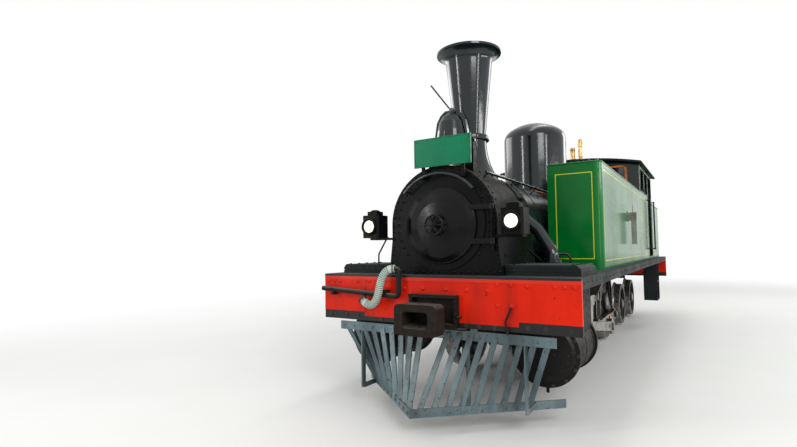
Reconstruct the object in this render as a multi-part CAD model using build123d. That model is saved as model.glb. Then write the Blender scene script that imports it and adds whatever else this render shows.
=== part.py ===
from build123d import *
import os
from math import atan2, cos, degrees, pi, radians, sin, sqrt, tan

# Side-tank steam locomotive for a 1067 mm gauge track.
# Millimetres. +X points forward, +Y to the locomotive's left, +Z up.
# The origin is the middle of the bounding box at the height of the lowest flange.
# "a" below is a distance behind the front face of the front buffer beam.
# "h" below is a height above the top of the rail.

# Overall sizes
FLANGE_DEPTH = 28
BACK_TO_BACK = 990
BEAM_WIDTH = 2500
BEAMS_LENGTH = 8800
FRONT_OVERHANG = 450
REAR_OVERHANG = 350
FOOTPLATE_TOP = 1230
FOOTPLATE_THICKNESS = 12
FRONT_FACE_X = (BEAMS_LENGTH + REAR_OVERHANG - FRONT_OVERHANG) / 2

# Clearances
SEAT_GAP = 0.3
PIN_RUNNING = 0.08
ROD_SIDE_GAP = 6
OPEN_PIVOT_GAP = 5

# Wheels
COUPLED_TREAD_R = 580
COUPLED_AXLES_A = (1950, 3350, 4750)
BOGIE_TREAD_R = 375
BOGIE_WHEELBASE = 1400
TYRE_WIDTH = 140
FLANGE_WIDTH = 32
TYRE_THICKNESS = 62
RIM_THICKNESS = 32
AXLE_JOURNAL_R = 75
AXLE_SEAT_R = 80
BOGIE_JOURNAL_R = 60
BOGIE_SEAT_R = 65
HUB_PROUD = 10

# Rods and motion
CRANK_R = 315
LEFT_CRANK_DEG = 225
RIGHT_CRANK_DEG = 315
CRANK_PIN_R = 42
ROD_PLANE_Y = 660
ROD_THICKNESS = 60
CONNECTING_ROD_LENGTH = 1585
MOTION_Y = 865
CONNECTING_ROD_THICKNESS = 70
PISTON_ROD_R = 34
GUDGEON_R = 38
PISTON_ROD_REACH = 1030
SLIDE_BAR_RISE = 255
SLIDE_BAR_HEIGHT = 62
SLIDE_BAR_WIDTH = 110

# Frames
FRAME_Y = 430
FRAME_THICKNESS = 25
FRAME_TOP = FOOTPLATE_TOP - FOOTPLATE_THICKNESS
FRAME_BOTTOM_OVER_BOGIE = 870
HORN_WIDTH = 220

# Cylinders
CYLINDER_R = 265
CYLINDER_FRONT_A = 350
CYLINDER_REAR_A = 1080
CYLINDER_FLANGE = 30

# Smokebox, boiler and firebox
BOILER_AXIS = 1700
BOILER_R = 525
BOILER_CLADDING_STEP = 12
SMOKEBOX_R = BOILER_R + BOILER_CLADDING_STEP
SMOKEBOX_WALL = 14
SMOKEBOX_FRONT_A = 200
SMOKEBOX_REAR_A = 1180
FRONT_PLATE_THICKNESS = 35
SADDLE_REAR_A = 1150
SADDLE_FOOT_Y = SMOKEBOX_R + 38
DOOR_R = 350
DOOR_SEAT_R = 432
DOOR_OPENING_R = 318
FIREBOX_LENGTH = 1430
FIREBOX_BOTTOM = 800
FIREBOX_HALF_WIDTH = 400
CHIMNEY_A = 860
CHIMNEY_TOP = 3520
CHIMNEY_LIP_R = 335
CHIMNEY_SKIRT_R = 350
CHIMNEY_BORE_R = 140
DOME_A = 3150
DOME_TOP = 3250
DOME_R = 430
DOME_CAP = 250
DOME_KNUCKLE_R = 170
DOME_FLANGE = 16
SMOKEBOX_BAND_A = (930, 1010)
SMOKEBOX_BAND_RISE = 10
SMOKEBOX_BAND_LOW = 1940

# Side tanks
TANK_FRONT_A = 1620
TANK_BOILER_GAP = 52
TANK_SETBACK = 110
TANK_INNER_Y = BOILER_R + TANK_BOILER_GAP
TANK_OUTER_Y = BEAM_WIDTH / 2 - TANK_SETBACK
TANK_TOP = 2380
TANK_CORNER_R = 80
TANK_BEAD_R = 10

# Cab and bunker
BUNKER_LENGTH = 1410
BUNKER_SETBACK = 240
CAB_LENGTH = 2000
CAB_PLATE = 10
BACKHEAD_IN_CAB = 280
DOORWAY_WIDTH = 600
DOORWAY_SETBACK = 100
ROOF_FRONT_OVERHANG = 190
ROOF_REAR_OVERHANG = 230
ROOF_SIDE_OVERHANG = 60
ROOF_CROWN = 3000
ROOF_EAVE = 2865
ROOF_THICKNESS = 12
ROOF_LIP = (12, 22)
CAB_FLOOR_THICKNESS = 40
BUNKER_TOP = 2300
WINDOW_GLASS = 6

BUNKER_REAR_A = BEAMS_LENGTH - BUNKER_SETBACK
CAB_REAR_A = BUNKER_REAR_A - BUNKER_LENGTH
CAB_FRONT_A = CAB_REAR_A - CAB_LENGTH
BACKHEAD_A = CAB_FRONT_A + BACKHEAD_IN_CAB
FIREBOX_FRONT_A = BACKHEAD_A - FIREBOX_LENGTH
DOORWAY = (CAB_REAR_A - DOORWAY_SETBACK - DOORWAY_WIDTH, CAB_REAR_A - DOORWAY_SETBACK)
ROOF_FRONT_A = CAB_FRONT_A - ROOF_FRONT_OVERHANG
ROOF_REAR_A = CAB_REAR_A + ROOF_REAR_OVERHANG
ROOF_HALF_WIDTH = TANK_OUTER_Y + ROOF_SIDE_OVERHANG
BOGIE_PIVOT_A = CAB_REAR_A

WHEEL_Y = BACK_TO_BACK / 2
AXLE_H = COUPLED_TREAD_R
FRAME_BOTTOM = AXLE_H - 160
HORN_TOP = AXLE_H + 150
BOGIE_AXLE_H = BOGIE_TREAD_R
BOGIE_AXLES_A = (BOGIE_PIVOT_A - BOGIE_WHEELBASE / 2, BOGIE_PIVOT_A + BOGIE_WHEELBASE / 2)


def x_at(a):
    return FRONT_FACE_X - a


def z_at(h):
    return h + FLANGE_DEPTH


def block(a, y, h):
    """Box between two distances a, two places y and two heights h."""
    size = (abs(a[1] - a[0]), abs(y[1] - y[0]), abs(h[1] - h[0]))
    middle = (x_at(sum(a) / 2), sum(y) / 2, z_at(sum(h) / 2))
    return Pos(*middle) * Box(*size)


def side_profile(outline):
    """Closed face in the plane y = 0 from (a, h) points."""
    points = [(x_at(a), z_at(h)) for a, h in outline]
    return Plane.XZ * make_face(Polyline(points, close=True))


def to_sides(face, y, thickness):
    """Extrudes a face of the plane y = 0 from y outward to y + thickness."""
    return extrude(Pos(0, y, 0) * face, amount=thickness, dir=(0, 1, 0))


def cross_profile(outline):
    """Closed face across the locomotive from (y, h) points, at a = 0."""
    points = [(y, z_at(h)) for y, h in outline]
    return Pos(x_at(0), 0, 0) * (Plane.YZ * make_face(Polyline(points, close=True)))


def along(face, a):
    """Extrudes a cross profile between two distances a."""
    return extrude(Pos(-min(a), 0, 0) * face, amount=abs(a[1] - a[0]), dir=(-1, 0, 0))


def rod_x(a, y, h, r):
    return Pos(x_at(sum(a) / 2), y, z_at(h)) * Rot(0, 90, 0) * Cylinder(r, abs(a[1] - a[0]))


def rod_y(a, y, h, r):
    return Pos(x_at(a), sum(y) / 2, z_at(h)) * Rot(90, 0, 0) * Cylinder(r, abs(y[1] - y[0]))


def rod_z(a, y, h, r):
    return Pos(x_at(a), y, z_at(sum(h) / 2)) * Cylinder(r, abs(h[1] - h[0]))


def turned_z(a, y, outline):
    """Turned piece on a vertical axis from (radius, h) points."""
    face = Plane.XZ * make_face(Polyline([(r, z_at(h)) for r, h in outline], close=True))
    return Pos(x_at(a), y, 0) * revolve(face, Axis.Z)


def turned_x(h, y, outline):
    """Turned piece on a lengthwise axis from (a, radius) points."""
    face = Plane.XZ * make_face(Polyline([(x_at(a), r) for a, r in outline], close=True))
    return Pos(0, y, z_at(h)) * revolve(face, Axis.X)


def tube(points, radius, bends):
    """Round bar along straight runs with rounded corners. Points are (a, y, h)."""
    path_points = [(x_at(a), y, z_at(h)) for a, y, h in points]
    path = FilletPolyline(*path_points, radius=bends) if len(points) > 2 else Polyline(*path_points)
    start = Plane(origin=path @ 0, z_dir=path % 0)
    return sweep(start * Circle(radius), path=path)


def mirrored(shape):
    return shape.mirror(Plane.XZ)


def both(shape):
    return [shape, mirrored(shape)]


def save(name, *shapes):
    solids = []
    for shape in shapes:
        parts = shape if isinstance(shape, (list, tuple)) else [shape]
        for part in parts:
            solids.extend(part.solids())
    whole = solids[0] if len(solids) == 1 else Compound(solids)
    export_step(whole, f"parts/{name}.step")
    print(name, len(solids))


# Frames and what joins them

def main_frame():
    outline = (
        (26, FRAME_TOP), (BEAMS_LENGTH - 26, FRAME_TOP), (BEAMS_LENGTH - 26, FRAME_BOTTOM_OVER_BOGIE),
        (BOGIE_PIVOT_A - 1530, FRAME_BOTTOM_OVER_BOGIE), (COUPLED_AXLES_A[2] + 580, FRAME_BOTTOM),
        (COUPLED_AXLES_A[0] - 470, FRAME_BOTTOM), (1260, 620), (200, 620), (26, 800),
    )
    face = side_profile(outline)
    for a in COUPLED_AXLES_A:
        face -= Plane.XZ * Pos(x_at(a), z_at((FRAME_BOTTOM + HORN_TOP) / 2)) * Rectangle(
            HORN_WIDTH, HORN_TOP - FRAME_BOTTOM)
    for a in (BOGIE_PIVOT_A - 1050, BOGIE_PIVOT_A - 500, BOGIE_PIVOT_A + 500, BOGIE_PIVOT_A + 1000):
        face -= Plane.XZ * Pos(x_at(a), z_at(1030)) * SlotOverall(360, 150)
    plate = to_sides(face, FRAME_Y, FRAME_THICKNESS)
    return both(plate)


COUPLER_SHANK_END = 300
STRETCHER_THICKNESS = 20
UNDER_SMOKEBOX = BOILER_AXIS - SMOKEBOX_R - 13
UNDER_BOILER = BOILER_AXIS - BOILER_R - 15
STRETCHERS = (
    # a at the front, lowest h, highest h
    (COUPLER_SHANK_END, 740, UNDER_SMOKEBOX),
    (1300, 640, UNDER_BOILER),
    (2640, 700, UNDER_BOILER),
    (BACKHEAD_A + 130, 890, FRAME_TOP),
    (BEAMS_LENGTH - COUPLER_SHANK_END - STRETCHER_THICKNESS, 740, FRAME_TOP),
)


def frame_stretchers():
    plates = []
    for a, low, high in STRETCHERS:
        face = cross_profile(((-FRAME_Y, low), (FRAME_Y, low), (FRAME_Y, high), (-FRAME_Y, high)))
        hole = Pos(x_at(0), 0, z_at(high - 90)) * (Plane.YZ * SlotOverall(420, 90))
        plates.append(along(face - hole, (a, a + STRETCHER_THICKNESS)))
    return plates


def bogie_bolster():
    """Casting across the frames with the pivot pin that the bogie turns on."""
    beam = block((BOGIE_PIVOT_A - 110, BOGIE_PIVOT_A + 110), (-FRAME_Y, FRAME_Y), (900, 1010))
    pad = rod_z(BOGIE_PIVOT_A, 0, (700, 900), 150)
    pin = rod_z(BOGIE_PIVOT_A, 0, (430, 700), 55)
    return beam + pad + pin


def running_boards():
    """Footplate on each side with its edge angle, carried on the frames."""
    inner = FRAME_Y
    outer = BEAM_WIDTH / 2
    low = FOOTPLATE_TOP - 90
    board = cross_profile((
        (inner, FRAME_TOP), (inner, FOOTPLATE_TOP), (outer, FOOTPLATE_TOP), (outer, low),
        (outer - 12, low), (outer - 12, FRAME_TOP),
    ))
    drum = along(ring_face(SMOKEBOX_R + SEAT_GAP), (SMOKEBOX_FRONT_A, SMOKEBOX_REAR_A))
    return both(along(board, (26, BEAMS_LENGTH - 26)) - drum)


def end_platforms():
    inner = FRAME_Y
    plate = block((0, BEAMS_LENGTH), (-inner, inner), (FRAME_TOP, FOOTPLATE_TOP))
    gap = block((SMOKEBOX_FRONT_A, BACKHEAD_A + 2), (-inner, inner), (FRAME_TOP - 5, FOOTPLATE_TOP + 5))
    front_strip = block((0, 26), (-BEAM_WIDTH / 2, BEAM_WIDTH / 2), (FRAME_TOP, FOOTPLATE_TOP))
    rear_strip = block((BEAMS_LENGTH - 26, BEAMS_LENGTH), (-BEAM_WIDTH / 2, BEAM_WIDTH / 2),
                       (FRAME_TOP, FOOTPLATE_TOP))
    return (plate - gap) + front_strip + rear_strip


# Buffer beams

BEAM_STEP_Y = 760
BEAM_NOTCH_Y = 240
BEAM_NOTCH_TOP = 1070
BEAM_OUTER_BOTTOM = 873
BEAM_INNER_BOTTOM = 833
BEAM_PLATE = 26
BEAM_PATCH = 4
BEAM_PATCH_Y = 750
BEAM_PATCH_TOP = 1180
BEAM_EDGE = 6
ANGLE_BOTTOM = 790


def buffer_beam(front):
    outline = []
    for y, h in ((BEAM_NOTCH_Y, BEAM_NOTCH_TOP), (BEAM_NOTCH_Y, BEAM_INNER_BOTTOM),
                 (BEAM_STEP_Y, BEAM_INNER_BOTTOM), (BEAM_STEP_Y, BEAM_OUTER_BOTTOM),
                 (BEAM_WIDTH / 2, BEAM_OUTER_BOTTOM), (BEAM_WIDTH / 2, FRAME_TOP)):
        outline.append((y, h))
    left = [(-y, h) for y, h in reversed(outline)]
    face = cross_profile(outline + left)
    start = 0 if front else BEAMS_LENGTH - BEAM_PLATE
    a = (-BEAM_PATCH, 0) if front else (BEAMS_LENGTH, BEAMS_LENGTH + BEAM_PATCH)
    patch = block(a, (BEAM_PATCH_Y, BEAM_WIDTH / 2), (BEAM_OUTER_BOTTOM, BEAM_PATCH_TOP))
    return along(face, (start, start + BEAM_PLATE)) + patch + mirrored(patch)


def beam_angles(front):
    """Black steel strips along the lower edge of a beam, and the edge strip along its top."""
    start = 0 if front else BEAMS_LENGTH - BEAM_PLATE
    a = (start, start + BEAM_PLATE)
    edge_a = (-BEAM_EDGE, 0) if front else (BEAMS_LENGTH, BEAMS_LENGTH + BEAM_EDGE)
    edge = block(edge_a, (-BEAM_WIDTH / 2, BEAM_WIDTH / 2), (BEAM_PATCH_TOP, FOOTPLATE_TOP))
    outer = block(a, (BEAM_STEP_Y, BEAM_WIDTH / 2), (ANGLE_BOTTOM, BEAM_OUTER_BOTTOM))
    inner = block(a, (BEAM_NOTCH_Y, BEAM_STEP_Y), (ANGLE_BOTTOM, BEAM_INNER_BOTTOM))
    return both(outer + inner) + [edge]


# Couplers

COUPLER_H = 880
COUPLER_WIDTH = 400
COUPLER_HEIGHT = 260
COUPLER_REACH = 350
COUPLER_HEAD = 150
COUPLER_MOUTH_WIDTH = 240
COUPLER_MOUTH_HEIGHT = 140
COUPLER_MOUTH_DEPTH = 190
COUPLER_PIN_R = 20
COUPLER_PIN_BACK = 85
POCKET_HALF_WIDTH = BEAM_NOTCH_Y - 2
POCKET_H = (ANGLE_BOTTOM + 2, BEAM_NOTCH_TOP - 2)


def coupler():
    """Link-and-pin drawhead and the ribbed pocket plate that fills the notch of the beam, at the front."""
    front = x_at(-COUPLER_REACH)
    h = COUPLER_H
    shank_front = x_at(-60)
    head = Pos(0, 0, z_at(h)) * loft([
        Pos(front, 0, 0) * (Plane.YZ * RectangleRounded(COUPLER_WIDTH, COUPLER_HEIGHT, 45)),
        Pos(front - COUPLER_HEAD, 0, 0) * (Plane.YZ * RectangleRounded(COUPLER_WIDTH, COUPLER_HEIGHT, 45)),
    ])
    neck = Pos(0, 0, z_at(h)) * loft([
        Pos(front - COUPLER_HEAD, 0, 0) * (Plane.YZ * RectangleRounded(COUPLER_WIDTH, COUPLER_HEIGHT, 45)),
        Pos(shank_front, 0, 0) * (Plane.YZ * RectangleRounded(200, 200, 30)),
    ])
    shank = block((-60, COUPLER_SHANK_END), (-100, 100), (h - 75, h + 75))
    mouth = Pos(0, 0, z_at(h)) * loft([
        Pos(front + 1, 0, 0) * (Plane.YZ * RectangleRounded(COUPLER_MOUTH_WIDTH, COUPLER_MOUTH_HEIGHT, 30)),
        Pos(front - COUPLER_MOUTH_DEPTH, 0, 0) * (Plane.YZ * RectangleRounded(200, 110, 20)),
    ])
    pin_hole = rod_z(-COUPLER_REACH + COUPLER_PIN_BACK, 0, (h - 200, h + 200), COUPLER_PIN_R)
    wide = POCKET_HALF_WIDTH
    low, high = POCKET_H
    pocket = block((0, BEAM_PLATE), (-wide, wide), POCKET_H)
    for side in (1, -1):
        pocket += block((-40, 0), (side * (wide - 38), side * wide), POCKET_H)
    pocket += block((-55, 0), (-wide, wide), (high - 28, high))
    pocket += block((-55, 0), (-wide, wide), (low, low + 28))
    return head + neck + shank + pocket - mouth - pin_hole


def turned_round(shape):
    """The same piece at the other end of the locomotive."""
    middle_x = x_at(BEAMS_LENGTH / 2)
    return Pos(middle_x, 0, 0) * Rot(0, 0, 180) * Pos(-middle_x, 0, 0) * shape


# Cowcatcher

CATCHER_TOP = (690, 770)
CATCHER_TOP_HALF_WIDTH = 1050
CATCHER_HALF_WIDTH = 1000
CATCHER_NOSE_A = -FRONT_OVERHANG
CATCHER_WING_A = 440
CATCHER_BOTTOM = (120, 190)
CATCHER_SLAT = (15, 50)
CATCHER_SLATS_PER_SIDE = 9
CATCHER_SLAT_PITCH = 108


def catcher_edge_a(y):
    return CATCHER_NOSE_A + (CATCHER_WING_A - CATCHER_NOSE_A) * abs(y) / CATCHER_HALF_WIDTH


def cowcatcher():
    """Pilot of flat bars that fan from a straight top bar down to a pointed bottom rail."""
    top = block((0, 14), (-CATCHER_TOP_HALF_WIDTH, CATCHER_TOP_HALF_WIDTH), CATCHER_TOP)
    rail_plan = []
    for y, shift in ((0, 0), (CATCHER_HALF_WIDTH, 0), (CATCHER_HALF_WIDTH, 16), (0, 16)):
        rail_plan.append((x_at(catcher_edge_a(y) + shift), y))
    rail_face = make_face(Polyline(rail_plan, close=True))
    height = CATCHER_BOTTOM[1] - CATCHER_BOTTOM[0]
    rail = extrude(Pos(0, 0, z_at(CATCHER_BOTTOM[0])) * rail_face, amount=height)
    pieces = top + rail + mirrored(rail)
    for side in (1, -1):
        for i in range(CATCHER_SLATS_PER_SIDE):
            top_y = 27 + CATCHER_SLAT_PITCH * (i + 1)
            foot_y = 0.82 * top_y - 70
            pieces += loft([
                Pos(x_at(9), side * top_y, z_at(CATCHER_TOP[1] - 10)) * Rectangle(*CATCHER_SLAT),
                Pos(x_at(catcher_edge_a(foot_y) + 14), side * foot_y, z_at(CATCHER_BOTTOM[0] + 10))
                * Rectangle(*CATCHER_SLAT),
            ])
    for side in (1, -1):
        for y in (300, 800):
            across = (side * y - 6, side * y + 6)
            pieces += block((2, 60), across, (150, 760))
            pieces += block((40, catcher_edge_a(y) + 10), across, (140, 185))
    hanger = block((0, 26), (340, 400), (770, ANGLE_BOTTOM))
    return pieces + hanger + mirrored(hanger)


# Wheels and axles

def wheel_local(tread_r, hub_r, seat_r, spokes, crank_deg=None):
    """Spoked wheel with its back face at z = 0 and its outer face up."""
    rim_r = tread_r - TYRE_THICKNESS
    felly_r = rim_r - RIM_THICKNESS
    tyre = (
        (rim_r, 0), (tread_r + FLANGE_DEPTH, 0), (tread_r + FLANGE_DEPTH, 14), (tread_r + 4, FLANGE_WIDTH),
        (tread_r, FLANGE_WIDTH + 12), (tread_r - 4, TYRE_WIDTH), (rim_r, TYRE_WIDTH), (rim_r, 118),
        (felly_r, 108), (felly_r, 32), (rim_r, 22),
    )
    outer = revolve(Plane.XZ * make_face(Polyline(tyre, close=True)), Axis.Z)
    top = TYRE_WIDTH + HUB_PROUD
    hub_outline = ((0, 10), (hub_r, 10), (hub_r, top - 14), (hub_r - 14, top), (0, top))
    centre = revolve(Plane.XZ * make_face(Polyline(hub_outline, close=True)), Axis.Z)
    for i in range(spokes):
        angle = 360 * (i + 0.5) / spokes
        inner_end = Plane(origin=(hub_r * 0.7, 0, 68), x_dir=(0, 1, 0), z_dir=(1, 0, 0))
        outer_end = Plane(origin=(felly_r + 6, 0, 68), x_dir=(0, 1, 0), z_dir=(1, 0, 0))
        spoke = loft([inner_end * Rectangle(tread_r * 0.13, 70), outer_end * Rectangle(tread_r * 0.085, 52)])
        centre += Rot(0, 0, angle) * spoke
    solid = outer + centre
    if crank_deg is not None:
        turn = Rot(0, 0, crank_deg)
        web = extrude(SlotCenterToCenter(CRANK_R, 200), amount=top - 20)
        solid += turn * Pos(CRANK_R / 2, 0, 20) * web
        weight = Circle(felly_r + 4) & Pos(-felly_r, 0) * Rectangle(felly_r * 0.86, felly_r * 3)
        solid += turn * Pos(0, 0, 34) * extrude(weight, amount=84)
        solid -= turn * Pos(CRANK_R, 0, 0) * Cylinder(CRANK_PIN_R + 0.05, 400)
    return solid - Cylinder(seat_r + 0.05, 400)


def place_wheel(solid, a, h, side):
    turn = Rot(-90, 0, 0) if side > 0 else Rot(90, 0, 0)
    return Pos(x_at(a), side * WHEEL_Y, z_at(h)) * turn * solid


def coupled_wheels(a):
    wheels = []
    for side, crank in ((1, LEFT_CRANK_DEG), (-1, RIGHT_CRANK_DEG)):
        local = wheel_local(COUPLED_TREAD_R, 140, AXLE_SEAT_R, 12, -side * crank)
        wheels.append(place_wheel(local, a, AXLE_H, side))
    return wheels


def axle(a, h, journal_r, seat_r):
    """Axle with raised wheel seats, its ends flush with the hubs."""
    end = WHEEL_Y + TYRE_WIDTH + HUB_PROUD
    outline = ((-end, 0), (-end, seat_r), (-WHEEL_Y - 8, seat_r), (-WHEEL_Y + 2, journal_r),
               (WHEEL_Y - 2, journal_r), (WHEEL_Y + 8, seat_r), (end, seat_r), (end, 0))
    face = make_face(Polyline(outline, close=True))
    return Pos(x_at(a), 0, z_at(h)) * Rot(0, 0, 90) * revolve(face, Axis.X)


def crank_point(a, side):
    """Where a crank pin's axis is at rest, as (a, h)."""
    angle = radians(LEFT_CRANK_DEG if side > 0 else RIGHT_CRANK_DEG)
    return a - CRANK_R * cos(angle), AXLE_H + CRANK_R * sin(angle)


def crank_pins(a, length_end):
    """Pins of both wheels of an axle, with a retaining collar at the end."""
    pins = []
    for side in (1, -1):
        pin_a, pin_h = crank_point(a, side)
        shaft = rod_y(pin_a, (side * (WHEEL_Y + 30), side * length_end), pin_h, CRANK_PIN_R)
        collar_y = ROD_PLANE_Y + ROD_THICKNESS + ROD_SIDE_GAP
        collar = rod_y(pin_a, (side * collar_y, side * length_end), pin_h, CRANK_PIN_R + 16)
        pins.append(shaft + collar)
    return pins


CONNECTING_ROD_INNER_Y = MOTION_Y - CONNECTING_ROD_THICKNESS / 2
SHORT_PIN_END = ROD_PLANE_Y + ROD_THICKNESS + 24
LONG_PIN_END = CONNECTING_ROD_INNER_Y - OPEN_PIVOT_GAP


def coupling_rod(side):
    """Rod with three eyes that joins the cranks of one side."""
    points = [crank_point(a, side) for a in COUPLED_AXLES_A]
    h = points[0][1]
    face = None
    for a, _ in points:
        eye = Plane.XZ * Pos(x_at(a), z_at(h)) * Circle(88)
        face = eye if face is None else face + eye
    for (a0, _), (a1, _) in zip(points, points[1:]):
        middle = (a0 + a1) / 2
        bar = side_profile(((a0 + 60, h - 62), (a0 + 60, h + 62), (a0 + 160, h + 48), (middle, h + 58),
                            (a1 - 160, h + 48), (a1 - 60, h + 62), (a1 - 60, h - 62), (a1 - 160, h - 48),
                            (middle, h - 58), (a0 + 160, h - 48)))
        face = face + bar
    for a, _ in points:
        face -= Plane.XZ * Pos(x_at(a), z_at(h)) * Circle(CRANK_PIN_R + PIN_RUNNING)
    rod = to_sides(face, ROD_PLANE_Y, ROD_THICKNESS)
    for (a0, _), (a1, _) in zip(points, points[1:]):
        for y in (ROD_PLANE_Y - 1, ROD_PLANE_Y + ROD_THICKNESS - 11):
            flute = block((a0 + 240, a1 - 240), (y, y + 12), (h - 26, h + 26))
            rod -= flute
    return rod if side > 0 else mirrored(rod)


# Pistons, crossheads and connecting rods

def crosshead_a(side):
    """Distance a of the crosshead pin at rest."""
    pin_a, pin_h = crank_point(COUPLED_AXLES_A[1], side)
    return pin_a - sqrt(CONNECTING_ROD_LENGTH ** 2 - (pin_h - AXLE_H) ** 2)


CROSSHEAD_FORK_IN = CONNECTING_ROD_THICKNESS / 2 + ROD_SIDE_GAP / 2
CROSSHEAD_CHEEK = 22


def crosshead(side):
    """Fork with its pin, hung from the slipper that grips the slide bar, and the piston rod."""
    a = crosshead_a(side)
    y0 = MOTION_Y
    outer = CROSSHEAD_FORK_IN + CROSSHEAD_CHEEK
    bar_low = AXLE_H + SLIDE_BAR_RISE
    bar_high = bar_low + SLIDE_BAR_HEIGHT
    cheek = side_profile(((a - 150, AXLE_H - 60), (a + 60, AXLE_H - 60), (a + 70, AXLE_H + 40),
                          (a + 130, bar_low - 30), (a + 130, bar_low - 0.5), (a - 150, bar_low - 0.5)))
    body = to_sides(cheek, y0 - outer, 2 * outer)
    fork = side_profile(((a - 62, AXLE_H - 70), (a + 140, AXLE_H - 70), (a + 140, bar_low - 26),
                         (a - 30, bar_low - 60), (a - 62, AXLE_H + 62)))
    body -= to_sides(fork, y0 - CROSSHEAD_FORK_IN, 2 * CROSSHEAD_FORK_IN)
    half = SLIDE_BAR_WIDTH / 2
    grip = 0.5
    shoe = cross_profile((
        (y0 - half - 18, bar_low - 26), (y0 + half + 18, bar_low - 26), (y0 + half + 18, bar_high + 24),
        (y0 - half - 18, bar_high + 24),
    )) - cross_profile((
        (y0 - half - grip, bar_low - grip), (y0 + half + grip, bar_low - grip),
        (y0 + half + grip, bar_high + grip), (y0 - half - grip, bar_high + grip),
    ))
    body += along(shoe, (a - 150, a + 130))
    pin = rod_y(a, (y0 - outer - 14, y0 + outer + 14), AXLE_H, GUDGEON_R)
    boss = rod_x((a - 210, a - 62), y0, AXLE_H, PISTON_ROD_R + 22)
    rod = rod_x((a - PISTON_ROD_REACH, a - 200), y0, AXLE_H, PISTON_ROD_R)
    whole = body + pin + boss + rod
    return whole if side > 0 else mirrored(whole)


def connecting_rod(side):
    """Rod from the crosshead pin to the big end, set down at its rest angle."""
    small_a = crosshead_a(side)
    big_a, big_h = crank_point(COUPLED_AXLES_A[1], side)
    length = CONNECTING_ROD_LENGTH
    half = CONNECTING_ROD_THICKNESS / 2
    small = Circle(58)
    big = Pos(-length, 0) * RectangleRounded(200, 210, 40)
    shaft = make_face(Polyline([(-20, 46), (-length + 70, 66), (-length + 70, -66), (-20, -46)], close=True))
    face = small + shaft + big - Circle(GUDGEON_R + PIN_RUNNING)
    flat = extrude(Pos(0, MOTION_Y - half, 0) * (Plane.XZ * face), amount=2 * half, dir=(0, 1, 0))
    for y in (MOTION_Y - half - 1, MOTION_Y + half - 11):
        flute = Pos(-length / 2, y + 6, 0) * Box(length - 420, 12, 46)
        flat -= flute
    cap = Pos(-length, MOTION_Y + half + 8, 0) * Rot(90, 0, 0) * Cylinder(CRANK_PIN_R + 8, 18)
    dip = degrees(atan2(AXLE_H - big_h, big_a - small_a))
    placed = Pos(x_at(small_a), 0, z_at(AXLE_H)) * Rot(0, -dip, 0) * (flat + cap)
    return placed if side > 0 else mirrored(placed)


def cylinder():
    """Left cylinder casting with its valve chest, covers and piston gland."""
    y0 = MOTION_Y
    frame_face = FRAME_Y + FRAME_THICKNESS
    barrel_face = Pos(x_at(0), y0, z_at(AXLE_H)) * (Plane.YZ * Circle(CYLINDER_R))
    chest = cross_profile((
        (frame_face, AXLE_H + 60), (y0, AXLE_H + 60), (y0 + 235, AXLE_H + 110), (y0 + 235, 1120),
        (y0 + 150, FRAME_TOP), (frame_face, FRAME_TOP),
    ))
    flange = Pos(x_at(0), y0, z_at(AXLE_H)) * (Plane.YZ * Circle(CYLINDER_R + 22))
    front, rear = CYLINDER_FRONT_A, CYLINDER_REAR_A
    body = along(barrel_face + chest, (front, rear))
    body += along(flange, (front - 10, front + CYLINDER_FLANGE))
    body += along(flange, (rear - CYLINDER_FLANGE, rear + 10))
    front_cover = ((front - 10, 0), (front - 10, CYLINDER_R - 10), (front - 40, CYLINDER_R - 30),
                   (front - 52, CYLINDER_R * 0.55), (front - 60, 0))
    body += turned_x(AXLE_H, y0, front_cover)
    rear_cover = ((rear, 0), (rear, CYLINDER_R - 10), (rear + 34, CYLINDER_R - 34), (rear + 34, 95),
                  (rear + 70, 80), (rear + 70, 0))
    body += turned_x(AXLE_H, y0, rear_cover)
    body += block((rear - 30, rear + 34), (y0 - 70, y0 + 70),
                  (AXLE_H, AXLE_H + SLIDE_BAR_RISE + SLIDE_BAR_HEIGHT))
    for a in (front + 50, rear - 50):
        body += rod_z(a, y0, (AXLE_H - CYLINDER_R - 75, AXLE_H - CYLINDER_R + 20), 14)
    stroke_front = COUPLED_AXLES_A[1] - CONNECTING_ROD_LENGTH - CRANK_R - PISTON_ROD_REACH
    body -= rod_x((stroke_front - 20, rear + 80), y0, AXLE_H, PISTON_ROD_R + PIN_RUNNING)
    return body


SLIDE_BAR_OVERRUN = 250
SLIDE_BAR_A = (CYLINDER_REAR_A + 34, COUPLED_AXLES_A[1] + CRANK_R - CONNECTING_ROD_LENGTH + SLIDE_BAR_OVERRUN)


def slide_bars():
    """Left slide bar with the bracket that hangs its rear end from the footplate."""
    y0 = MOTION_Y
    half = SLIDE_BAR_WIDTH / 2
    low = AXLE_H + SLIDE_BAR_RISE
    bar = block(SLIDE_BAR_A, (y0 - half, y0 + half), (low, low + SLIDE_BAR_HEIGHT))
    rear = SLIDE_BAR_A[1]
    bracket_face = cross_profile((
        (y0 - 80, low), (y0 + 80, low), (y0 + 80, low + 90), (y0 + 200, FRAME_TOP),
        (y0 - 130, FRAME_TOP), (y0 - 80, low + 90),
    ))
    bracket = along(bracket_face, (rear, rear + 25))
    return bar + bracket


# Axle boxes, springs and brakes

def axle_boxes():
    boxes = []
    for a in COUPLED_AXLES_A:
        half = HORN_WIDTH / 2 - SEAT_GAP
        body = block((a - half, a + half), (385, 485), (AXLE_H - 130, HORN_TOP - SEAT_GAP))
        body -= rod_y(a, (300, 600), AXLE_H, AXLE_JOURNAL_R + PIN_RUNNING)
        boxes += both(body)
    return boxes


SPRING_HALF_LENGTH = 360
SPRING_LEAVES = 6
SPRING_LEAF = 12
SPRING_CAMBER = 58


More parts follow.
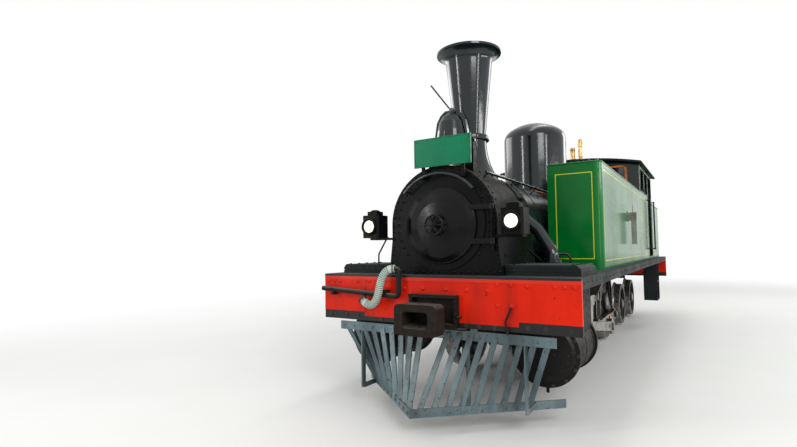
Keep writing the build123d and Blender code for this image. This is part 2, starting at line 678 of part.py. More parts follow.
def springs():
    """Leaf springs slung under the axle boxes, with their buckles and end hangers."""
    packs = []
    y = (402, 462)
    for a in COUPLED_AXLES_A:
        top = AXLE_H - 225
        pack = None
        for i in range(SPRING_LEAVES):
            half = SPRING_HALF_LENGTH - 48 * i
            low = top - SPRING_LEAF * (i + 1)
            rise = SPRING_CAMBER * (half / SPRING_HALF_LENGTH) ** 2
            inner = [(-half, rise), (0, 0), (half, rise)]
            upper = ThreePointArc(*[(x_at(a) + s, z_at(low) + SPRING_LEAF + r) for s, r in inner])
            lower = ThreePointArc(*[(x_at(a) + s, z_at(low) + r) for s, r in inner])
            ends = [Line(upper @ 0, lower @ 0), Line(upper @ 1, lower @ 1)]
            leaf = to_sides(Plane.XZ * make_face([upper, lower] + ends), y[0], y[1] - y[0])
            pack = leaf if pack is None else pack + leaf
        buckle = block((a - 45, a + 45), (y[0] - 12, y[1] + 12), (top - 88, AXLE_H - 130))
        pack += buckle
        for end in (-1, 1):
            place = a + end * (SPRING_HALF_LENGTH - 30)
            lift = SPRING_CAMBER * ((SPRING_HALF_LENGTH - 30) / SPRING_HALF_LENGTH) ** 2
            pack += block((place - 14, place + 14), (FRAME_Y, FRAME_Y + FRAME_THICKNESS),
                          (top + lift - 6, FRAME_BOTTOM))
        packs += both(pack)
    return packs


BRAKE_HANGER = COUPLED_TREAD_R + 80
BRAKE_BLOCK_GAP = 8


def brake_gear():
    """For each coupled axle, two hangers with blocks and the beam between them."""
    sets = []
    for a in COUPLED_AXLES_A:
        hang_a = a + BRAKE_HANGER
        beam = rod_y(hang_a, (-600, 600), AXLE_H - 250, 26)
        group = beam
        for side in (1, -1):
            hanger = block((hang_a - 22, hang_a + 22), (side * 560, side * 590), (AXLE_H - 250, 1040))
            bracket = rod_y(hang_a, (side * (FRAME_Y + FRAME_THICKNESS), side * 600), 1000, 24)
            ring = Circle(COUPLED_TREAD_R + 70) - Circle(COUPLED_TREAD_R + BRAKE_BLOCK_GAP)
            wedge = make_face(Polyline([(0, 0), (-900, -420), (-900, 160)], close=True))
            shoe_face = Pos(x_at(a), z_at(AXLE_H)) * (ring & wedge)
            shoe = to_sides(Plane.XZ * shoe_face, 535, 90)
            group = group + hanger + bracket + (shoe if side > 0 else mirrored(shoe))
        sets.append(group)
    return sets


# Bogie

BOGIE_FRAME_Y = 372
BOGIE_FRAME_THICKNESS = 22


def bogie_frame():
    """Two side plates with their cross stretcher and centre bearing."""
    front, rear = BOGIE_AXLES_A
    ends = (front - 240, rear + 240)
    outline = ((ends[0], 560), (ends[1], 560), (ends[1], 400), (rear + 150, 220), (rear - 150, 220),
               (rear - 260, 380), (front + 260, 380), (front + 150, 220), (front - 150, 220), (ends[0], 400))
    face = side_profile(outline)
    for a in BOGIE_AXLES_A:
        face -= Plane.XZ * Pos(x_at(a), z_at(BOGIE_AXLE_H)) * Circle(BOGIE_JOURNAL_R + PIN_RUNNING)
    plate = to_sides(face, BOGIE_FRAME_Y, BOGIE_FRAME_THICKNESS)
    whole = plate + mirrored(plate)
    whole += block((BOGIE_PIVOT_A - 170, BOGIE_PIVOT_A + 170), (-BOGIE_FRAME_Y, BOGIE_FRAME_Y), (440, 520))
    whole += rod_z(BOGIE_PIVOT_A, 0, (420, 690), 150)
    for a in (ends[0] + 10, ends[1] - 34):
        whole += block((a, a + 24), (-BOGIE_FRAME_Y, BOGIE_FRAME_Y), (430, 550))
    for a in BOGIE_AXLES_A:
        for side in (1, -1):
            y = sorted((side * (BOGIE_FRAME_Y - 30), side * (BOGIE_FRAME_Y + 70)))
            box = block((a - 90, a + 90), y, (BOGIE_AXLE_H - 90, BOGIE_AXLE_H + 95))
            whole += box - rod_y(a, (side * 300, side * 500), BOGIE_AXLE_H, BOGIE_JOURNAL_R + PIN_RUNNING)
    return whole - rod_z(BOGIE_PIVOT_A, 0, (300, 800), 55 + PIN_RUNNING)


def bogie_wheels(a):
    return [place_wheel(wheel_local(BOGIE_TREAD_R, 100, BOGIE_SEAT_R, 10), a, BOGIE_AXLE_H, side)
            for side in (1, -1)]


# Smokebox and boiler

def tombstone(radius, foot_y, foot_h):
    """Round-topped outline of the smokebox front, standing on the footplate."""
    axis = BOILER_AXIS
    drop = 140
    arc = ThreePointArc((radius, z_at(axis)), (0, z_at(axis + radius)), (-radius, z_at(axis)))
    sides = [
        Line((radius, z_at(axis)), (radius, z_at(axis - drop))),
        Line((radius, z_at(axis - drop)), (foot_y, z_at(foot_h))),
        Line((foot_y, z_at(foot_h)), (-foot_y, z_at(foot_h))),
        Line((-foot_y, z_at(foot_h)), (-radius, z_at(axis - drop))),
        Line((-radius, z_at(axis - drop)), (-radius, z_at(axis))),
    ]
    return Pos(x_at(0), 0, 0) * (Plane.YZ * make_face([arc] + sides))


def ring_face(radius, h=BOILER_AXIS):
    return Pos(x_at(0), 0, z_at(h)) * (Plane.YZ * Circle(radius))


def smokebox():
    """Drum with its front plate, open behind the door, a hole for the chimney, and the clamped band."""
    drum = along(ring_face(SMOKEBOX_R), (SMOKEBOX_FRONT_A, SMOKEBOX_REAR_A))
    plate = along(tombstone(SMOKEBOX_R, SADDLE_FOOT_Y, FOOTPLATE_TOP),
                  (SMOKEBOX_FRONT_A - FRONT_PLATE_THICKNESS, SMOKEBOX_FRONT_A))
    seat = along(ring_face(DOOR_SEAT_R), (SMOKEBOX_FRONT_A - FRONT_PLATE_THICKNESS - 12, SMOKEBOX_FRONT_A))
    band = along(ring_face(SMOKEBOX_R + SMOKEBOX_BAND_RISE), SMOKEBOX_BAND_A)
    band -= block((0, 2000), (-700, 700), (1000, SMOKEBOX_BAND_LOW))
    band -= rod_z(CHIMNEY_A, 0, (BOILER_AXIS, BOILER_AXIS + 700), CHIMNEY_SKIRT_R + 5)
    end_y = sqrt(SMOKEBOX_R ** 2 - (SMOKEBOX_BAND_LOW - BOILER_AXIS) ** 2)
    for side in (1, -1):
        lug_y = (side * (end_y - 12), side * (end_y + 26))
        band += block((SMOKEBOX_BAND_A[0] + 10, SMOKEBOX_BAND_A[1] - 10), lug_y,
                      (SMOKEBOX_BAND_LOW, SMOKEBOX_BAND_LOW + 26))
    band -= along(ring_face(SMOKEBOX_R + SEAT_GAP), (0, 2000))
    whole = drum + plate + seat
    whole -= along(ring_face(DOOR_OPENING_R), (0, SMOKEBOX_FRONT_A + 1))
    whole -= along(ring_face(SMOKEBOX_R - SMOKEBOX_WALL), (SMOKEBOX_FRONT_A, SMOKEBOX_REAR_A - 20))
    whole -= rod_z(CHIMNEY_A, 0, (BOILER_AXIS + 300, BOILER_AXIS + 700), CHIMNEY_BORE_R)
    return [whole, band]


def smokebox_saddle():
    """Casting between the frames and the drum, with the flared sides of the front plate."""
    body = along(tombstone(SMOKEBOX_R - 2, SADDLE_FOOT_Y - 4, FOOTPLATE_TOP), (SMOKEBOX_FRONT_A, SADDLE_REAR_A))
    body -= along(ring_face(SMOKEBOX_R + SEAT_GAP), (0, 2000))
    top = block((0, 2000), (-700, 700), (BOILER_AXIS, BOILER_AXIS + 700))
    return body - top


BOILER_BANDS_A = (1500, 2350, 3690, 3960)


def boiler():
    """Barrel with its bands and the round-topped firebox that reaches into the cab."""
    barrel = along(ring_face(BOILER_R), (SMOKEBOX_REAR_A, FIREBOX_FRONT_A))
    for a in BOILER_BANDS_A:
        barrel += along(ring_face(BOILER_R + 5), (a, a + 55))
    axis = BOILER_AXIS
    top = ThreePointArc((BOILER_R, z_at(axis)), (0, z_at(axis + BOILER_R)), (-BOILER_R, z_at(axis)))
    low = FIREBOX_BOTTOM
    waist = FOOTPLATE_TOP + 15
    half = FIREBOX_HALF_WIDTH
    sides = [
        Line((BOILER_R, z_at(axis)), (BOILER_R, z_at(1400))), Line((BOILER_R, z_at(1400)), (half, z_at(waist))),
        Line((half, z_at(waist)), (half, z_at(low))), Line((half, z_at(low)), (-half, z_at(low))),
        Line((-half, z_at(low)), (-half, z_at(waist))), Line((-half, z_at(waist)), (-BOILER_R, z_at(1400))),
        Line((-BOILER_R, z_at(1400)), (-BOILER_R, z_at(axis))),
    ]
    firebox = along(Pos(x_at(0), 0, 0) * (Plane.YZ * make_face([top] + sides)), (FIREBOX_FRONT_A, BACKHEAD_A))
    return barrel + firebox


def chimney():
    """Tapered barrel on a skirt that fits the smokebox, with a flared lip."""
    base = BOILER_AXIS + SMOKEBOX_R
    skirt = 385
    neck = CHIMNEY_TOP - 120
    outer = ThreePointArc((CHIMNEY_SKIRT_R, z_at(base - 160)), (218, z_at(base + 60)),
                          (165, z_at(base + skirt - 30)))
    profile = [
        outer,
        Line(outer @ 1, (185, z_at(base + skirt - 30))),
        Line((185, z_at(base + skirt - 30)), (185, z_at(base + skirt))),
        Line((185, z_at(base + skirt)), (158, z_at(base + skirt))),
        Line((158, z_at(base + skirt)), (240, z_at(neck))),
    ]
    flare = ThreePointArc((240, z_at(neck)), (262, z_at(CHIMNEY_TOP - 65)),
                          (CHIMNEY_LIP_R, z_at(CHIMNEY_TOP - 22)))
    inner = [(CHIMNEY_LIP_R, CHIMNEY_TOP), (CHIMNEY_LIP_R - 20, CHIMNEY_TOP), (245, CHIMNEY_TOP - 66),
             (215, CHIMNEY_TOP - 140), (CHIMNEY_BORE_R, base + skirt),
             (CHIMNEY_BORE_R, base - 160), (CHIMNEY_SKIRT_R, base - 160)]
    points = [(CHIMNEY_LIP_R, CHIMNEY_TOP - 22)] + inner
    rest = [Line((p[0], z_at(p[1])), (q[0], z_at(q[1]))) for p, q in zip(points, points[1:])]
    solid = Pos(x_at(CHIMNEY_A), 0, 0) * revolve(Plane.XZ * make_face(profile + [flare] + rest), Axis.Z)
    return solid - along(ring_face(SMOKEBOX_R + SEAT_GAP), (0, 2500))


def steam_dome():
    """Straight-sided dome with a rounded cap and a flange that fits the barrel."""
    shoulder = DOME_TOP - DOME_CAP
    inset = DOME_R - DOME_KNUCKLE_R
    crown_r = (inset ** 2 + DOME_CAP ** 2 - DOME_KNUCKLE_R ** 2) / (2 * (DOME_CAP - DOME_KNUCKLE_R))
    crown_h = DOME_TOP - crown_r
    meet = atan2(shoulder - crown_h, inset)

    def on_knuckle(angle):
        return (inset + DOME_KNUCKLE_R * cos(angle), z_at(shoulder + DOME_KNUCKLE_R * sin(angle)))

    def on_crown(angle):
        return (crown_r * cos(angle), z_at(crown_h + crown_r * sin(angle)))

    knuckle = ThreePointArc(on_knuckle(0), on_knuckle(meet / 2), on_knuckle(meet))
    crown = ThreePointArc(on_crown(meet), on_crown((meet + pi / 2) / 2), (0, z_at(DOME_TOP)))
    lines = [
        Line((0, z_at(BOILER_AXIS)), (DOME_R, z_at(BOILER_AXIS))),
        Line((DOME_R, z_at(BOILER_AXIS)), (DOME_R, z_at(shoulder))),
        Line((0, z_at(DOME_TOP)), (0, z_at(BOILER_AXIS))),
    ]
    solid = Pos(x_at(DOME_A), 0, 0) * revolve(Plane.XZ * make_face([knuckle, crown] + lines), Axis.Z)
    ring = along(ring_face(BOILER_R + DOME_FLANGE), (DOME_A - 600, DOME_A + 600))
    flange = ring & rod_z(DOME_A, 0, (BOILER_AXIS, BOILER_AXIS + 700), DOME_R + 48)
    return (solid + flange) - along(ring_face(BOILER_R + SEAT_GAP), (DOME_A - 700, DOME_A + 700))


DOOR_HINGE_Y = 500
DOOR_HINGE_A = SMOKEBOX_FRONT_A - FRONT_PLATE_THICKNESS - 30
DOOR_STRAP_H = (1530, 1830)


def smokebox_door():
    """Dished door with its hinge straps, knuckles and hand wheel."""
    face_a = SMOKEBOX_FRONT_A - FRONT_PLATE_THICKNESS - 12 - SEAT_GAP
    dish = (
        (face_a, 0), (face_a, DOOR_R), (face_a - 14, DOOR_R), (face_a - 42, DOOR_R * 0.84),
        (face_a - 72, DOOR_R * 0.6), (face_a - 88, DOOR_R * 0.3), (face_a - 92, 0),
    )
    body = turned_x(BOILER_AXIS - 20, 0, dish)
    body += rod_x((face_a - 150, face_a - 80), 0, BOILER_AXIS - 20, 22)
    wheel = Pos(x_at(face_a - 142), 0, z_at(BOILER_AXIS - 20)) * Rot(0, 90, 0) * Torus(88, 9)
    body += wheel
    for turn in (0, 60, 120):
        spoke = Pos(x_at(face_a - 142), 0, z_at(BOILER_AXIS - 20)) * Rot(turn, 0, 0) * Box(12, 178, 14)
        body += spoke
    for h in DOOR_STRAP_H:
        body += block((face_a - 26, face_a - 14), (150, DOOR_HINGE_Y), (h - 22, h + 22))
        body += rod_z(DOOR_HINGE_A, DOOR_HINGE_Y, (h - 26, h + 26), 22)
    for h in DOOR_STRAP_H:
        body -= rod_z(DOOR_HINGE_A, DOOR_HINGE_Y, (h - 60, h + 60), 11 + PIN_RUNNING)
    return body


def door_hinge_rod():
    """Upright rod on lugs that the door straps turn on."""
    rod = rod_z(DOOR_HINGE_A, DOOR_HINGE_Y, (1440, 1920), 11)
    for h in (1470, 1890):
        lug = block((DOOR_HINGE_A, SMOKEBOX_FRONT_A - FRONT_PLATE_THICKNESS),
                    (DOOR_HINGE_Y - 12, DOOR_HINGE_Y + 12), (h - 14, h + 14))
        rod += lug
    return rod


# Fittings at the front

CHEST_COVER_HEIGHT = 90
CHEST_COVER_REAR_A = 860


def valve_chest_covers():
    inner = SADDLE_FOOT_Y - 15
    outer = BEAM_WIDTH / 2 - 50
    top = FOOTPLATE_TOP + CHEST_COVER_HEIGHT
    profile = cross_profile(((inner, FOOTPLATE_TOP), (outer, FOOTPLATE_TOP), (outer, top - 30),
                             (outer - 35, top), (inner, top)))
    body = along(profile, (240, CHEST_COVER_REAR_A))
    for h in (FOOTPLATE_TOP + 30, FOOTPLATE_TOP + 60):
        groove = block((230, CHEST_COVER_REAR_A + 10), (outer - 6, outer + 10), (h - 4, h + 4))
        groove += block((230, 246), (inner, outer + 10), (h - 4, h + 4))
        body -= groove
    cut = along(tombstone(SMOKEBOX_R + 2, SADDLE_FOOT_Y + 4, FOOTPLATE_TOP), (0, 2000))
    return both(body - cut)


def steam_pipes():
    """Pipe on each side from the smokebox down to the valve chest."""
    top = FOOTPLATE_TOP + CHEST_COVER_HEIGHT
    pipe = tube(((1000, SMOKEBOX_R - 32, 1760), (1000, SMOKEBOX_R + 103, 1640), (900, 800, 1420),
                 (900, 800, top + 5)), 62, [70, 110])
    collar = rod_z(900, 800, (top, top + 30), 88)
    cut = along(ring_face(SMOKEBOX_R + SEAT_GAP), (0, 2500))
    foot = block((CHEST_COVER_REAR_A, 1000), (700, 900), (FOOTPLATE_TOP, top))
    return both((pipe + collar + foot) - cut)


BOARD_A = (100, 116)


BOARD_Y = (-240, 333)
BOARD_H = (2221, 2486)


def name_board():
    return block(BOARD_A, BOARD_Y, BOARD_H)


def board_brackets():
    posts = []
    low = BOARD_H[0] - 109
    for y in (BOARD_Y[0] + 85, BOARD_Y[1] - 88):
        post = block((BOARD_A[1], BOARD_A[1] + 10), (y - 18, y + 18), (low, BOARD_H[1] - 15))
        foot = block((BOARD_A[1] + 10, SMOKEBOX_FRONT_A - FRONT_PLATE_THICKNESS), (y - 18, y + 18),
                     (low, low + 26))
        posts.append(post + foot)
    return posts


BELL_A = 420
SMOKEBOX_CROWN = BOILER_AXIS + SMOKEBOX_R
BELL_PIVOT = SMOKEBOX_CROWN + 253
BELL_YOKE_Y = 205
BELL_CUP = (
    # radius, height over the pivot, round the wall from the crown to the mouth and back
    (0, 290), (50, 288), (90, 254), (120, 200), (138, 110), (150, 30), (168, -28), (168, -40),
    (156, -40), (138, 30), (126, 110), (108, 194), (80, 242), (46, 272), (0, 274),
)
BELL_YOKE = (
    # y, height over the pivot, up the inside of the left arm and down its outside
    (54, 296), (98, 258), (130, 204), (146, 110), (154, 50), (162, -14),
    (184, -14), (176, 50), (168, 110), (150, 210), (112, 275), (60, 316),
)


def bell_bracket():
    """Two uprights on a base plate that fits the smokebox crown."""
    base = block((BELL_A - 45, BELL_A + 45), (-BELL_YOKE_Y - 30, BELL_YOKE_Y + 30),
                 (SMOKEBOX_CROWN - 137, SMOKEBOX_CROWN + 33))
    base -= along(ring_face(SMOKEBOX_R + SEAT_GAP), (0, 2500))
    for side in (1, -1):
        base += block((BELL_A - 28, BELL_A + 28), (side * (BELL_YOKE_Y + 2), side * (BELL_YOKE_Y + 26)),
                      (SMOKEBOX_CROWN + 13, BELL_PIVOT + 24))
    base -= block((BELL_A - 60, BELL_A + 60), (-BELL_YOKE_Y, BELL_YOKE_Y),
                  (SMOKEBOX_CROWN + 19, SMOKEBOX_CROWN + 60))
    return base - rod_y(BELL_A, (-300, 300), BELL_PIVOT, 14 + PIN_RUNNING)


def bell():
    """Bell hung in an arched yoke, with trunnions, clapper and the pull arm at its top."""
    body = turned_z(BELL_A, 0, [(r, BELL_PIVOT + h) for r, h in BELL_CUP])
    left = [(y, BELL_PIVOT + h) for y, h in BELL_YOKE]
    right = [(-y, h) for y, h in reversed(left)]
    body += along(cross_profile(left + right), (BELL_A - 22, BELL_A + 22))
    body += rod_z(BELL_A, 0, (BELL_PIVOT + 280, BELL_PIVOT + 340), 26)
    for side in (1, -1):
        body += rod_y(BELL_A, (side * 172, side * (BELL_YOKE_Y + 36)), BELL_PIVOT, 14)
    body += rod_z(BELL_A, 0, (BELL_PIVOT - 20, BELL_PIVOT + 280), 8)
    body += Pos(x_at(BELL_A), 0, z_at(BELL_PIVOT - 20)) * Sphere(28)
    body += tube(((BELL_A, -10, BELL_PIVOT + 325), (BELL_A, -221, BELL_PIVOT + 607)), 8, [])
    return body


LAMP_Y = SMOKEBOX_R + 173
LAMP_H = 1690
LAMP_A = (30, 220)


def marker_lamps():
    """Lamp each side of the smokebox: casing, round front rim, vented top and bracket."""
    casing = block(LAMP_A, (LAMP_Y - 95, LAMP_Y + 95), (LAMP_H - 110, LAMP_H + 110))
    casing = chamfer(casing.edges().filter_by(Axis.Z), 18)
    roof = block((70, 180), (LAMP_Y - 55, LAMP_Y + 55), (LAMP_H + 110, LAMP_H + 150))
    rim = rod_x((LAMP_A[0] - 22, LAMP_A[0] + 10), LAMP_Y, LAMP_H, 78) - rod_x(
        (LAMP_A[0] - 30, LAMP_A[0] - 6), LAMP_Y, LAMP_H, 64)
    bracket = block((120, 240), (SMOKEBOX_R - 30, LAMP_Y + 60), (LAMP_H - 130, LAMP_H - 110))
    bracket -= along(tombstone(SMOKEBOX_R + SEAT_GAP, SADDLE_FOOT_Y, FOOTPLATE_TOP), (0, 2500))
    return both(casing + roof + rim + bracket)


def lamp_lenses():
    return both(rod_x((LAMP_A[0] - 16, LAMP_A[0] - 6), LAMP_Y, LAMP_H, 64 - SEAT_GAP))


# Side tanks

TANK_FILLER_A = 2300
TANK_FILLER_Y = (TANK_INNER_Y + TANK_OUTER_Y) / 2
TANK_FILLER_R = 190
TANK_FILLER_HINGE_A = TANK_FILLER_A + TANK_FILLER_R + 40


def side_tank():
    """Closed tank with a rounded outer front edge, beading round its top and a filler neck."""
    body = block((TANK_FRONT_A, CAB_FRONT_A), (TANK_INNER_Y, TANK_OUTER_Y), (FOOTPLATE_TOP, TANK_TOP))
    corner = body.edges().filter_by(Axis.Z).sort_by(Axis.X)[-2:].sort_by(Axis.Y)[-1]
    body = fillet(corner, TANK_CORNER_R)
    inset = 4
    bead_a, bead_y, bead_h = TANK_FRONT_A + inset, TANK_OUTER_Y - inset, TANK_TOP - inset
    body += tube(((CAB_FRONT_A - 1, bead_y, bead_h), (bead_a, bead_y, bead_h),
                  (bead_a, TANK_INNER_Y + 20, bead_h)), TANK_BEAD_R, [TANK_CORNER_R - inset])
    body += rod_z(TANK_FRONT_A + 38, TANK_OUTER_Y - 42, (TANK_TOP - 10, TANK_TOP + 25), 14)
    neck = rod_z(TANK_FILLER_A, TANK_FILLER_Y, (TANK_TOP, TANK_TOP + 60), TANK_FILLER_R)
    neck -= rod_z(TANK_FILLER_A, TANK_FILLER_Y, (TANK_TOP - 40, TANK_TOP + 90), TANK_FILLER_R - 15)
    body -= rod_z(TANK_FILLER_A, TANK_FILLER_Y, (TANK_TOP - 200, TANK_TOP + 90), TANK_FILLER_R - 15)
    lug = block((TANK_FILLER_HINGE_A - 16, TANK_FILLER_HINGE_A + 16), (TANK_FILLER_Y - 60, TANK_FILLER_Y - 36),
                (TANK_TOP, TANK_TOP + 92))
    lugs = lug + block((TANK_FILLER_HINGE_A - 16, TANK_FILLER_HINGE_A + 16),
                       (TANK_FILLER_Y + 36, TANK_FILLER_Y + 60), (TANK_TOP, TANK_TOP + 92))
    lugs -= rod_y(TANK_FILLER_HINGE_A, (TANK_FILLER_Y - 90, TANK_FILLER_Y + 90), TANK_TOP + 74, 9 + PIN_RUNNING)
    return body + neck + lugs


def tank_lid():
    """Filler lid with its hinge arm, pin and handle."""
    lid = rod_z(TANK_FILLER_A, TANK_FILLER_Y, (TANK_TOP + 60 + SEAT_GAP, TANK_TOP + 74), TANK_FILLER_R + 12)
    arm = block((TANK_FILLER_A, TANK_FILLER_HINGE_A), (TANK_FILLER_Y - 35, TANK_FILLER_Y + 35),
                (TANK_TOP + 66, TANK_TOP + 82))
    knuckle = rod_y(TANK_FILLER_HINGE_A, (TANK_FILLER_Y - 35, TANK_FILLER_Y + 35), TANK_TOP + 74, 16)
    pin = rod_y(TANK_FILLER_HINGE_A, (TANK_FILLER_Y - 66, TANK_FILLER_Y + 66), TANK_TOP + 74, 9)
    handle = tube(((TANK_FILLER_A - 110, TANK_FILLER_Y - 60, TANK_TOP + 72),
                   (TANK_FILLER_A - 110, TANK_FILLER_Y - 60, TANK_TOP + 120),
                   (TANK_FILLER_A - 110, TANK_FILLER_Y + 60, TANK_TOP + 120),
                   (TANK_FILLER_A - 110, TANK_FILLER_Y + 60, TANK_TOP + 72)), 8, [20, 20])
    return lid + arm + knuckle + pin + handle


BRACKET_A = 3600


def tank_bracket():
    """Foot on the left tank with its arm, hanging bar and upright pin."""
    face = TANK_OUTER_Y
    foot = block((BRACKET_A - 60, BRACKET_A + 60), (face, face + 8), (1810, 1950))
    arm = block((BRACKET_A - 12, BRACKET_A + 12), (face, face + 108), (1820, 1937))
    bar = block((BRACKET_A - 6, BRACKET_A + 6), (face + 38, face + 106), (1500, 1822))
    pin = rod_z(BRACKET_A, face + 65, (1930, 2060), 6)
    return foot + arm + bar + pin


# Cab

def roof_circle_radius():
    rise = ROOF_CROWN - ROOF_EAVE
    return (ROOF_HALF_WIDTH ** 2 + rise ** 2) / (2 * rise)


def under_roof():
    """Cross face of the cab space below the roof, for trimming the end walls."""
    radius = roof_circle_radius()
    inner = radius - ROOF_THICKNESS - SEAT_GAP
    circle = Pos(x_at(0), 0, z_at(ROOF_CROWN - radius)) * (Plane.YZ * Circle(inner))
    box = cross_profile(((-TANK_OUTER_Y, FOOTPLATE_TOP), (TANK_OUTER_Y, FOOTPLATE_TOP),
                         (TANK_OUTER_Y, ROOF_CROWN), (-TANK_OUTER_Y, ROOF_CROWN)))
    return box & circle


def cab_roof():
    radius = roof_circle_radius()
    lip_width, lip_depth = ROOF_LIP
    strip = Pos(0, radius) * Rectangle(2 * ROOF_HALF_WIDTH, 2 * (ROOF_CROWN - ROOF_EAVE) + 60)
    place = Pos(x_at(0), 0, z_at(ROOF_CROWN - radius))
    sheet = Circle(radius) - Circle(radius - ROOF_THICKNESS)
    lip = Circle(radius) - Circle(radius - ROOF_THICKNESS - lip_depth)
    roof = along(place * (Plane.YZ * (sheet & strip)), (ROOF_FRONT_A, ROOF_REAR_A))
    roof += along(place * (Plane.YZ * (lip & strip)), (ROOF_FRONT_A, ROOF_FRONT_A + lip_width))
    roof += along(place * (Plane.YZ * (lip & strip)), (ROOF_REAR_A - lip_width, ROOF_REAR_A))
    for a, y, r, _ in VALVE_COLUMNS:
        roof -= rod_z(a, y, (2700, 3300), r + 8)
    return roof


CAB_WINDOW_Y = (500, 940)
CAB_WINDOW_H = (2450, 2820)
WINDOW_LEDGE = 22


def window_face(grow):
    """Window outline with rounded upper corners, grown outward by a margin."""
    width = CAB_WINDOW_Y[1] - CAB_WINDOW_Y[0] + 2 * grow
    height = CAB_WINDOW_H[1] - CAB_WINDOW_H[0] + 2 * grow
    middle_y = sum(CAB_WINDOW_Y) / 2
    middle_h = sum(CAB_WINDOW_H) / 2
    return Pos(x_at(0), middle_y, z_at(middle_h)) * (Plane.YZ * RectangleRounded(width, height, 60 + grow))


def end_wall(a, opening):
    face = under_roof() - opening
    wall = along(face, (a, a + CAB_PLATE))
    hole = along(window_face(0), (a - 20, a + CAB_PLATE + 20))
    return wall - hole - mirrored(hole)


def cab_front():
    axis = BOILER_AXIS
    around = BOILER_R + SEAT_GAP
    hole = ring_face(around) + cross_profile(((-around, FOOTPLATE_TOP - 10), (around, FOOTPLATE_TOP - 10),
                                              (around, axis), (-around, axis)))
    return end_wall(CAB_FRONT_A, hole)


def cab_rear():
    wide = BEAM_WIDTH / 2
    low = cross_profile(((-wide, 1000), (wide, 1000), (wide, FOOTPLATE_TOP + CAB_FLOOR_THICKNESS),
                         (-wide, FOOTPLATE_TOP + CAB_FLOOR_THICKNESS)))
    return end_wall(CAB_REAR_A - CAB_PLATE, low)


def window_parts(a, direction):
    """Brass frames on the outside of an end wall, and the panes behind them."""
    ring = window_face(WINDOW_LEDGE) - window_face(-10)
    frame_a = sorted((a, a + direction * 12))
    frame = along(ring, frame_a)
    pane_a = sorted((a, a - direction * WINDOW_GLASS))
    pane = along(window_face(-SEAT_GAP), pane_a)
    return both(frame), both(pane)


SIDE_OPENINGS = (
    # front a, rear a, low h, high h
    (CAB_FRONT_A + 110, CAB_FRONT_A + 630, TANK_TOP + 20, 2790),
    (CAB_FRONT_A + 710, DOORWAY[0] - 80, TANK_TOP + 20, 2790),
    (DOORWAY[0], DOORWAY[1], FOOTPLATE_TOP + 45, 2790),
)


def cab_side():
    """Left cab side: one sheet with two window openings and the doorway."""
    front = CAB_FRONT_A + CAB_PLATE
    rear = CAB_REAR_A - CAB_PLATE
    radius = roof_circle_radius()
    fall = radius - sqrt(radius ** 2 - TANK_OUTER_Y ** 2)
    top = ROOF_CROWN - fall - ROOF_THICKNESS - 15
    face = side_profile(((front, FOOTPLATE_TOP), (rear, FOOTPLATE_TOP), (rear, top), (front, top)))
    for a0, a1, h0, h1 in SIDE_OPENINGS:
        opening = Pos(x_at((a0 + a1) / 2), z_at((h0 + h1) / 2)) * RectangleRounded(a1 - a0, h1 - h0, 60)
        face -= Plane.XZ * opening
    return to_sides(face, TANK_OUTER_Y - CAB_PLATE, CAB_PLATE)


def cab_floor():
    wide = TANK_OUTER_Y - CAB_PLATE - 2
    floor = block((CAB_FRONT_A + CAB_PLATE, CAB_REAR_A), (-wide, wide),
                  (FOOTPLATE_TOP, FOOTPLATE_TOP + CAB_FLOOR_THICKNESS))
    return floor - block((CAB_FRONT_A - 10, BACKHEAD_A + 2), (-BOILER_R - 2, BOILER_R + 2), (1000, 1400))


def coal_bunker():
    """Open-topped bunker with rounded rear corners and a sloping floor."""
    outer = block((CAB_REAR_A, BUNKER_REAR_A), (-TANK_OUTER_Y, TANK_OUTER_Y), (FOOTPLATE_TOP, BUNKER_TOP))
    corners = outer.edges().filter_by(Axis.Z).sort_by(Axis.X)[:2]
    outer = fillet(corners, TANK_CORNER_R)
    inner = block((CAB_REAR_A + CAB_PLATE, BUNKER_REAR_A - CAB_PLATE),
                  (-TANK_OUTER_Y + CAB_PLATE, TANK_OUTER_Y - CAB_PLATE), (FOOTPLATE_TOP + 200, BUNKER_TOP + 10))
    inner_corners = inner.edges().filter_by(Axis.Z).sort_by(Axis.X)[:2]
    inner = fillet(inner_corners, TANK_CORNER_R - CAB_PLATE)
    ramp = side_profile(((CAB_REAR_A, FOOTPLATE_TOP + 150), (BUNKER_REAR_A, FOOTPLATE_TOP + 150),
                         (BUNKER_REAR_A, FOOTPLATE_TOP + 700)))
    return outer - (inner - to_sides(ramp, -TANK_OUTER_Y, 2 * TANK_OUTER_Y))


VALVE_COLUMNS = (
    # a, y, radius, top h
    (BACKHEAD_A - 100, 50, 42, 3270),
    (BACKHEAD_A - 100, 185, 36, 3410),
)


def safety_valve():
    a, y, r, top = VALVE_COLUMNS[0]
    base = BOILER_AXIS + sqrt(BOILER_R ** 2 - y ** 2)
    outline = ((0, base - 8), (r * 1.6, base - 8), (r * 1.6, base + 30), (r, base + 50), (r, top - 60),
               (r * 1.15, top - 50), (r * 1.15, top - 20), (r * 0.6, top), (0, top))
    return turned_z(a, y, outline) - along(ring_face(BOILER_R + SEAT_GAP), (FIREBOX_FRONT_A, BACKHEAD_A))


def whistle():
    a, y, r, top = VALVE_COLUMNS[1]
    base = BOILER_AXIS + sqrt(BOILER_R ** 2 - y ** 2)
    outline = ((0, base - 20), (r * 1.5, base - 20), (r * 1.5, base + 30), (r * 0.8, base + 50),
               (r * 0.8, top - 330), (r, top - 320), (r, top - 175), (r * 0.55, top - 170),
               (r * 0.55, top - 145), (r * 1.1, top - 140), (r * 1.1, top - 30), (r * 0.5, top), (0, top))
    return turned_z(a, y, outline) - along(ring_face(BOILER_R + SEAT_GAP), (FIREBOX_FRONT_A, BACKHEAD_A))


